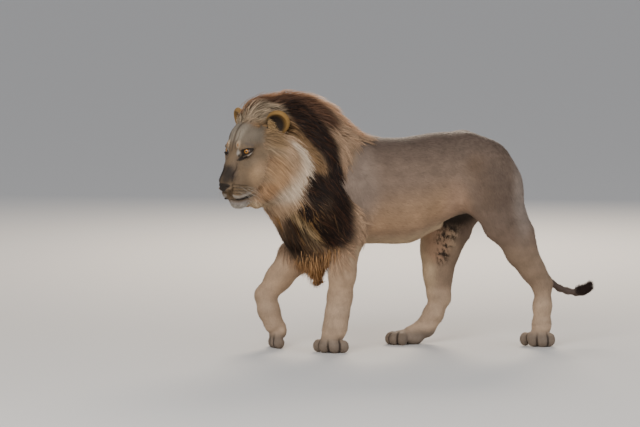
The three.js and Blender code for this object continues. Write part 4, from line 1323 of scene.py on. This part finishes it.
LIFT_SHARE = 0.55
for name, keep in regions.items():
    slot = "paw_fur" if name == "coat_paws" else "coat"
    short_tufts(name, roots, keep, lengths, widths, depth * LIFT_SHARE, short_material)

# ---------------------------------------------------------------- mane and ruff
# Long, coarse hair from the forehead to the shoulders and down the chest, and a finer pale ruff around the
# cheeks. It leaves the skin, lies in layers up to the mane's outer form, hangs in locks, and stops short of
# the ears.
OUTER_CELL = 12.0
outer_axes = axes_of((-1020, -270, 320), (-70, 270, 1330), OUTER_CELL)
outer = grid_field(outer_axes, inset=False).astype(np.float64)
slopes = [g / OUTER_CELL for g in np.gradient(outer)]
bare = grid_field(outer_axes).astype(np.float64)


def read_grid(values, p):
    """Smoothly reads one or more grids at points."""
    q = [(p[:, i] - outer_axes[i][0]) / OUTER_CELL for i in range(3)]
    i = [np.clip(v.astype(int), 0, n - 2) for v, n in zip(q, outer.shape)]
    t = [np.clip(v - w, 0, 1) for v, w in zip(q, i)]
    total = 0
    for corner in range(8):
        o = [(corner >> k) & 1 for k in range(3)]
        share = np.prod([t[k] if o[k] else 1 - t[k] for k in range(3)], axis=0)
        at_corner = [v[i[0] + o[0], i[1] + o[1], i[2] + o[2]] for v in values]
        total = total + share[:, None] * np.stack(at_corner, 1)
    return total


LONG_JOINTS = 6
WANDER_SEED = 40
EAR_CLEAR = -3.0
# how far a hair may stand out of the mane's outer form, and how much further on the tassel
STAND_OUT, TASSEL_STAND_OUT = 7, 36
HAIRS_PER_LOCK = 9


def comb(at, length, layer, wild, wander_by, rng):
    """Paths of long hairs: they leave the skin, rise to their layer in the mane, and follow the lie."""
    joints, seed = LONG_JOINTS, WANDER_SEED
    clear = rng.uniform(1.5, 8.0, (len(at), 1)) * (0.2 + 0.8 * soft_step(25, 100, length))[:, None]
    step = (length / (joints - 1))[:, None]
    p, path = at.copy(), [at.copy()]
    sway = rng.normal(0, 1, (len(at), 3)) * wild
    for k in range(1, joints):
        sample = read_grid([outer, bare, *slopes], p)
        d, under, n = sample[:, :1], sample[:, 1:2], unit(sample[:, 2:])
        way = mane_lie(p)
        wander = np.stack([waver(p, 70, seed + i) for i in range(3)], 1) * 0.18
        wander += np.stack([waver(p, 26, seed + 3 + i) for i in range(3)], 1) * 0.08
        way = unit(way + wander * wander_by + sway)
        way = unit(way - np.sum(way * n, 1)[:, None] * n)
        target = layer[:, None] - (layer[:, None] - d) * (1 - soft_step(0, 0.55, k / (joints - 1)))
        lift = np.clip(np.maximum(target - d, clear - under) / step, -0.9, 0.9)
        p = p + unit(way + n * lift) * step
        path.append(p.copy())
    return np.stack(path, 1)


def clumped(paths, per_clump, pull, rng):
    """Draws the hairs' tips towards those of the nearest leading hair, so that they hang in locks."""
    leaders = rng.choice(len(paths), max(1, len(paths) // per_clump), replace=False)
    near = np.empty(len(paths), int)
    for start in range(0, len(paths), 2000):
        block = paths[start : start + 2000, 0]
        away = ((block[:, None] - paths[leaders, 0][None]) ** 2).sum(2)
        near[start : start + 2000] = away.argmin(1)
    share = np.linspace(0, 1, paths.shape[1]) ** 1.3 * pull
    return paths + (paths[leaders[near]] - paths) * share[None, :, None], leaders[near]


def long_hair(name, roots, keep, length, layer, width, material, wild, wander_by, pull):
    """One piece of long hairs, cut short where they would leave the outer form or cross an ear."""
    seed, joints = sum(map(ord, name)), LONG_JOINTS
    at = (roots.at - roots.normal * 2.0)[keep]
    length, layer, width, wild = length[keep], layer[keep], width[keep], wild[keep][:, None]
    paths = comb(at, length, layer, wild, wander_by, np.random.default_rng(seed))
    out_of_form = read_grid([outer], paths.reshape(-1, 3)).reshape(len(at), joints)
    allowed = np.maximum(layer, 0) + STAND_OUT + TASSEL_STAND_OUT * soft_step(480, 410, at[:, 2])
    past = out_of_form > allowed[:, None]
    at_ear = depth_in(paths.reshape(-1, 3), ear_forms).reshape(len(at), joints) > EAR_CLEAR
    past |= at_ear & ~at_ear[:, :1]
    reach = np.where(past.any(1), past.argmax(1), joints) / joints
    length = length * np.maximum(reach, 0.2)
    paths = comb(at, length, layer, wild, wander_by, np.random.default_rng(seed))
    rng = np.random.default_rng(seed + 1)
    paths, leader = clumped(paths, HAIRS_PER_LOCK, pull, rng)
    along = unit(np.gradient(paths, axis=1))
    n = unit(read_grid(slopes, paths.reshape(-1, 3))).reshape(paths.shape)
    side = unit(np.cross(n, along))
    up_way = unit(np.cross(along, side))
    taper = np.interp(np.linspace(0, 1, joints), (0, 0.25, 0.6, 1), (0.8, 1, 0.75, 0))
    colours = np.clip(mane_hair_colours(roots, keep, paths, leader, rng), 0, 1)
    wide = width[:, None] * taper[None]
    piece = tuft_mesh(name, paths, side, up_way, wide, colours, roots.map[keep], 0.45, 0.5)
    piece.data.materials.append(material)


def mane_hair_colours(roots, keep, paths, leader, rng):
    """Each lock has its own shade; markings are read along the hair, so that bands keep their place."""
    tufts, joints, _ = paths.shape
    reading = paths.reshape(-1, 3)
    ruff_part = np.repeat(roots.blend(ruff_share)[keep], joints)
    f, l, u = head_of(*reading.T)
    lock = 0.45 * waver(paths[:, 0], 30, 5)
    lock = lock + rng.uniform(-0.8, 0.8, tufts)[leader] * 0.6 + rng.uniform(-0.3, 0.3, tufts)
    of_mane = mane_colour(reading, np.repeat(lock, joints))
    of_ruff = ruff_colour(np.stack([f, np.abs(l), u], 1))
    c = mix(of_mane, of_ruff, soft_step(0.35, 0.65, ruff_part)).reshape(tufts, joints, 3)
    shade = 0.5 * (0.8 + 0.5 * rng.random(tufts))[leader] + 0.5 * rng.uniform(0.45, 1.5, tufts)
    c = c * shade[:, None, None]
    rusty = (rng.random(tufts) < 0.32) * (1 - ruff_part.reshape(tufts, joints)[:, 0])
    rusty = np.repeat(rusty * rng.uniform(0.2, 0.9, tufts), joints)
    c = c.reshape(-1, 3)
    c = mix(c, c * 1.6 + named_colour("38200f"), rusty)
    reach = np.linalg.norm(paths[:, -1] - paths[:, 0], axis=1)
    fade = 1 + (np.linspace(0.7, 1.22, joints)[None] - 1) * soft_step(25, 95, reach)[:, None]
    return c.reshape(tufts, joints, 3) * fade[:, :, None]


mane_material = coat_material("mane_hair", 0.55, 0.15, 300, 0.25, 0.0, 0.0)
long_density = soft_step(0.02, 0.45, long_share) * (1 - ear_share) * (1 + 0.8 * ruff_share)
MANE_COUNT = 28000
roots = Roots(MANE_COUNT, long_density, 21)
# each in millimetres: hairs of the ruff, of the mane, and how much longer they are on the chest
RUFF_LENGTH, MANE_LENGTH, LONGER_ON_CHEST = 140.0, 135.0, 75
RUFF_WIDTH, MANE_WIDTH, LAYERS_DEPTH = 4.0, 5.2, 22
CREST_FLOOR, CHEST_TOP = 1080, 760
ruff_part, mane_part = roots.blend(ruff_share), roots.blend(mane_share)
in_ruff = ruff_part > 0.5
on_chest = soft_step(900, 780, roots.at[:, 2]) * ~in_ruff
length = np.where(in_ruff, RUFF_LENGTH, MANE_LENGTH) + LONGER_ON_CHEST * on_chest
length = length * roots.rng.uniform(0.65, 1.2, MANE_COUNT)
length *= 0.14 + 0.86 * soft_step(0.1, 0.95, np.where(in_ruff, ruff_part, mane_part))
at = roots.at
on_crest = soft_step(1120, 1200, at[:, 2]) * ~in_ruff
locks = 0.6 * waver(at, 26, 71) + 0.4 * waver(at, 11, 72)
layer = -roots.rng.uniform(0, 1, MANE_COUNT) ** 1.5 * LAYERS_DEPTH + 1.0 - 4 * on_crest
layer = layer + locks * (4 + 9 * on_crest)
loose = (roots.rng.random(MANE_COUNT) < 0.14 + 0.24 * on_crest) & ~in_ruff
layer = np.where(loose, roots.rng.uniform(2, 12, MANE_COUNT) + (3 + 9 * locks) * on_crest, layer)
wild = np.where(loose, 0.26, np.where(in_ruff, 0.06, 0.1))
width = np.where(in_ruff, RUFF_WIDTH, MANE_WIDTH) * 1.0
width = width * roots.rng.uniform(0.6, 1.2, MANE_COUNT)
width = np.minimum(width, length * 0.06) * np.where(loose, 0.6, 1.0)
crest, chest, left_side = at[:, 2] > CREST_FLOOR, at[:, 2] <= CHEST_TOP, at[:, 1] < 0
regions = {
    "mane_crest": ~in_ruff & crest,
    "mane_neck_left": ~in_ruff & ~crest & ~chest & left_side,
    "mane_neck_right": ~in_ruff & ~crest & ~chest & ~left_side,
    "mane_chest_left": ~in_ruff & chest & left_side,
    "mane_chest_right": ~in_ruff & chest & ~left_side,
    "ruff_left": in_ruff & (head_of(*at.T)[1] > 0),
    "ruff_right": in_ruff & (head_of(*at.T)[1] <= 0),
}
for name, keep in regions.items():
    slot, wander_by, pull = ("cheek_ruff", 0.45, 0.45) if name.startswith("ruff") else ("mane_fur", 1.0, 0.65)
    long_hair(name, roots, keep, length, layer, width, mane_material, wild, wander_by, pull)

# ---------------------------------------------------------------- fringes
# Finer hair grows at the front edge of each ear and across its opening, on the chin, as a tassel under the
# chest, and as a tuft at the tail's tip. Long pale whiskers stand in the dark dots of the muzzle.
def free_hair(name, roots, way, length, width, lift, colours, slot, droop=0.0, joints=5, picked=slice(None)):
    """Hairs that leave the skin along a way, rise by lift, and droop towards their tips."""
    at, normal, rng = roots.at[picked], roots.normal[picked], roots.rng
    count = len(at)
    t = np.linspace(0, 1, joints)[None, :, None]
    length = (length * rng.uniform(0.65, 1.2, count))[:, None, None]
    way = unit(way + rng.normal(0, 0.14, (count, 3)))[:, None]
    fall = np.array((0, 0, -1.0)) * droop
    paths = at[:, None] + (way * t + normal[:, None] * lift * np.sin(t * 2.2) + fall * t**2) * length
    along = unit(np.gradient(paths, axis=1))
    side = unit(np.cross(normal[:, None], along))
    ups = unit(np.cross(along, side))
    taper = np.interp(np.linspace(0, 1, joints), (0, 0.3, 0.7, 1), (0.8, 1, 0.7, 0))
    wide = (width * rng.uniform(0.7, 1.2, count))[:, None] * taper[None]
    shade = rng.uniform(0.7, 1.25, (count, 1, 1)) * np.linspace(0.85, 1.15, joints)[None, :, None]
    colours = np.clip(colours[:, None] * shade, 0, 1)
    piece = tuft_mesh(name, paths, side, ups, wide, colours, roots.map[picked], 0.5, 0.5)
    piece.data.materials.append(mane_material)


def plain(colour, count):
    return np.tile(named_colour(colour), (count, 1))


# keeps a density above nothing everywhere, so that every hair finds a root
TRACE = 1e-9
FRINGE_COUNT = 260
INTO_EAR = unit(np.array((0.25, -0.8, -0.35)))
for label, side in (("left", LEFT), ("right", RIGHT)):
    from_ear = np.stack([forward, left * side, upward], 1) - EAR_AT
    edge = ear_share * soft_step(28, 40, from_ear @ INTO_EAR) * soft_step(-34, -8, from_ear[:, 0])
    fringe = Roots(FRINGE_COUNT, edge * (left * side > 0) + TRACE, 31 + int(side > 0))
    way = unit(np.array((-0.35, 0.85 * side, -0.3))) @ HEAD_AXES
    gold = mix(plain("8a6b42", FRINGE_COUNT), named_colour("c3a67c"), fringe.rng.random(FRINGE_COUNT) * 0.7)
    way = np.tile(way, (FRINGE_COUNT, 1))
    free_hair("ear_fringe_" + label, fringe, way, 34.0, 1.3, 0.03, gold, "ear_fur", 0.12)

TASSEL_COUNT = 1500
under_chest = soft_step(560, 470, height) * mane_share * soft_step(-520, -490, skin_points[:, 0])
tassel = Roots(TASSEL_COUNT, under_chest + TRACE, 71)
gold_share = tassel.rng.random(TASSEL_COUNT) ** 1.5
tassel_colour = mix(plain("54351c", TASSEL_COUNT), named_colour("d9a772"), gold_share)
tassel_way = unit(np.array((0.12, 0, -1.0)) + 0.16 * tassel.normal)
free_hair("mane_tassel", tassel, tassel_way, 74.0, 3.0, 0.05, tassel_colour, "mane_fur", 0.15)

TUFT_COUNT = 900
tail_tip = Roots(TUFT_COUNT, soft_step(870, 910, skin_points[:, 0]) + TRACE, 41)
tuft_way = unit(np.array((0.6, 0, 0.75)) + 0.2 * tail_tip.normal)
free_hair("tail_tuft_locks", tail_tip, tuft_way, 24.0, 2.2, 0.1, plain("2b1f1a", TUFT_COUNT), "tail_tuft_fur")

CHIN_COUNT = 1400
under_jaw = [(30, 0, -276, 22), (0, 20, -280, 26), (-50, 34, -264, 28)]
chin = Roots(CHIN_COUNT, band(head_points, under_jaw, 0.3) * face_share + TRACE, 51)
chin_way = unit(np.array((-0.5, 0, -0.6)) @ HEAD_AXES + 0.2 * chin.normal)
free_hair("chin_fur", chin, chin_way, 12.0, 1.6, 0.06, plain("a89e92", CHIN_COUNT), "pale_fur")

WHISKER_ROWS, WHISKERS_IN_ROW, WHISKER_PLACES = 3, 5, 4000
on_muzzle = face_share * patch(head_points, (20, 46, -184), (46, 30, 26), 0.2)
muzzle = Roots(WHISKER_PLACES, on_muzzle + TRACE, 61)
f, l, u = head_of(*muzzle.at.T)
picked, ways = [], []
for side in (LEFT, RIGHT):
    for row in range(WHISKER_ROWS):
        for i in range(WHISKERS_IN_ROW):
            goal = np.array((46 - 13 * i, 44 + 5 * i, -168 - 14 * row))
            away = np.linalg.norm(np.stack([f, l * side, u], 1) - goal, axis=1) + 1e3 * (l * side < 0)
            picked.append(int(away.argmin()))
            ways.append(np.array((-0.35 - 0.09 * i, 0.85 * side, -0.28 - 0.1 * row)) @ HEAD_AXES)
picked, ways = np.array(picked), unit(np.array(ways))
pale = plain("a89c8c", len(picked))
free_hair("whiskers", muzzle, ways, 100.0, 0.8, 0.05, pale, "pale_fur", 0.25, 8, picked)

# ---------------------------------------------------------------- eyes
# Two amber eyes set deep between black lids, each a wet ball of glass that rises to a clear dome in front.
# The iris is streaked around a round pupil, and both eyes look ahead past the lion's left shoulder.
EYE_RADIUS, DOME_RISE, DOME_REACH = 20.5, 0.07, 0.5
EYE_RINGS, EYE_SPOKES = 48, 64


def look_of(side):
    """Centre of an eye, the way it looks, and the axes across and up from that."""
    look = unit(np.array((0.86, side * 0.46, 0.03))) @ HEAD_AXES
    across = unit(np.cross(look, (0, 0, 1)))
    return from_head(EYE_AT * (1, side, 1)), look, across, np.cross(across, look)


def eye_mesh(name, side):
    """A ball of rings around the direction of its look, its front raised into a dome."""
    centre, look, across, rise = look_of(side)
    rings, spokes = EYE_RINGS, EYE_SPOKES
    angle = np.linspace(0, math.pi, rings + 1)[1:-1]
    radius = EYE_RADIUS * (1 + DOME_RISE * np.exp(-((angle / DOME_REACH) ** 4)))
    turn = np.arange(spokes) / spokes * 2 * math.pi
    ring = np.cos(turn)[:, None] * across + np.sin(turn)[:, None] * rise
    points = [centre + look * EYE_RADIUS * (1 + DOME_RISE)]
    for a, r in zip(angle, radius):
        points.extend(centre + r * (math.cos(a) * look + math.sin(a) * ring))
    points.append(centre - look * EYE_RADIUS)
    bm = bmesh.new()
    verts = [bm.verts.new(v) for v in to_part(np.array(points))]
    for j in range(spokes):
        k = (j + 1) % spokes
        bm.faces.new((verts[0], verts[1 + k], verts[1 + j]))
        for r in range(rings - 2):
            a = 1 + r * spokes
            bm.faces.new((verts[a + j], verts[a + k], verts[a + spokes + k], verts[a + spokes + j]))
        a = 1 + (rings - 2) * spokes
        bm.faces.new((verts[a + j], verts[a + k], verts[-1]))
    bmesh.ops.recalc_face_normals(bm, faces=bm.faces[:])
    mesh = bpy.data.meshes.new(name)
    bm.to_mesh(mesh)
    bm.free()
    return mesh


def iris_colours(mesh, side):
    """Black pupil, amber iris with paler middle and dark limbus, and the sclera around it painted dark as
    shade.
    """
    centre, look, across, rise = look_of(side)
    v = unit((read(mesh.vertices, "co", 3) - TO_PART) / MM - centre)
    away = np.degrees(np.arccos(np.clip(v @ look, -1, 1)))
    turn = np.arctan2(v @ rise, v @ across)
    streak = 0.5 + 0.25 * np.sin(turn * 17 + 1.3) + 0.25 * np.sin(turn * 29)
    c = mix(named_colour("9c641c"), named_colour("cf9a3e"), soft_step(24, 15, away) * 0.6)
    c = tint(c, "7a4a16", streak * 0.35)
    c = tint(c, "1a0e06", soft_step(28, 34, away))
    # painted shade: the sclera around the iris darkened
    c = tint(c, "3a2418", soft_step(36, 44, away))
    return tint(c, "020202", soft_step(14.5, 12.5, away))


eye_material = bpy.data.materials.new("amber_eye")
eye_material.use_nodes = True
eye_shader = eye_material.node_tree.nodes["Principled BSDF"]
eye_shader.inputs["Roughness"].default_value = 0.12
eye_shader.inputs["Coat Weight"].default_value = 0.45
eye_shader.inputs["Coat Roughness"].default_value = 0.03
eye_marks = eye_material.node_tree.nodes.new("ShaderNodeVertexColor")
eye_marks.layer_name = "iris"
eye_material.node_tree.links.new(eye_marks.outputs["Color"], eye_shader.inputs["Base Color"])
for label, side in (("left", LEFT), ("right", RIGHT)):
    mesh = eye_mesh("eye_ball_" + label, side)
    give_colours(mesh, iris_colours(mesh, side), "iris")
    mesh.shade_smooth()
    mesh.materials.append(eye_material)
    ball = bpy.data.objects.new("eye_ball_" + label, mesh)
    bpy.context.collection.objects.link(ball)
    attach(ball, "root")
    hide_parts("eye_" + label)
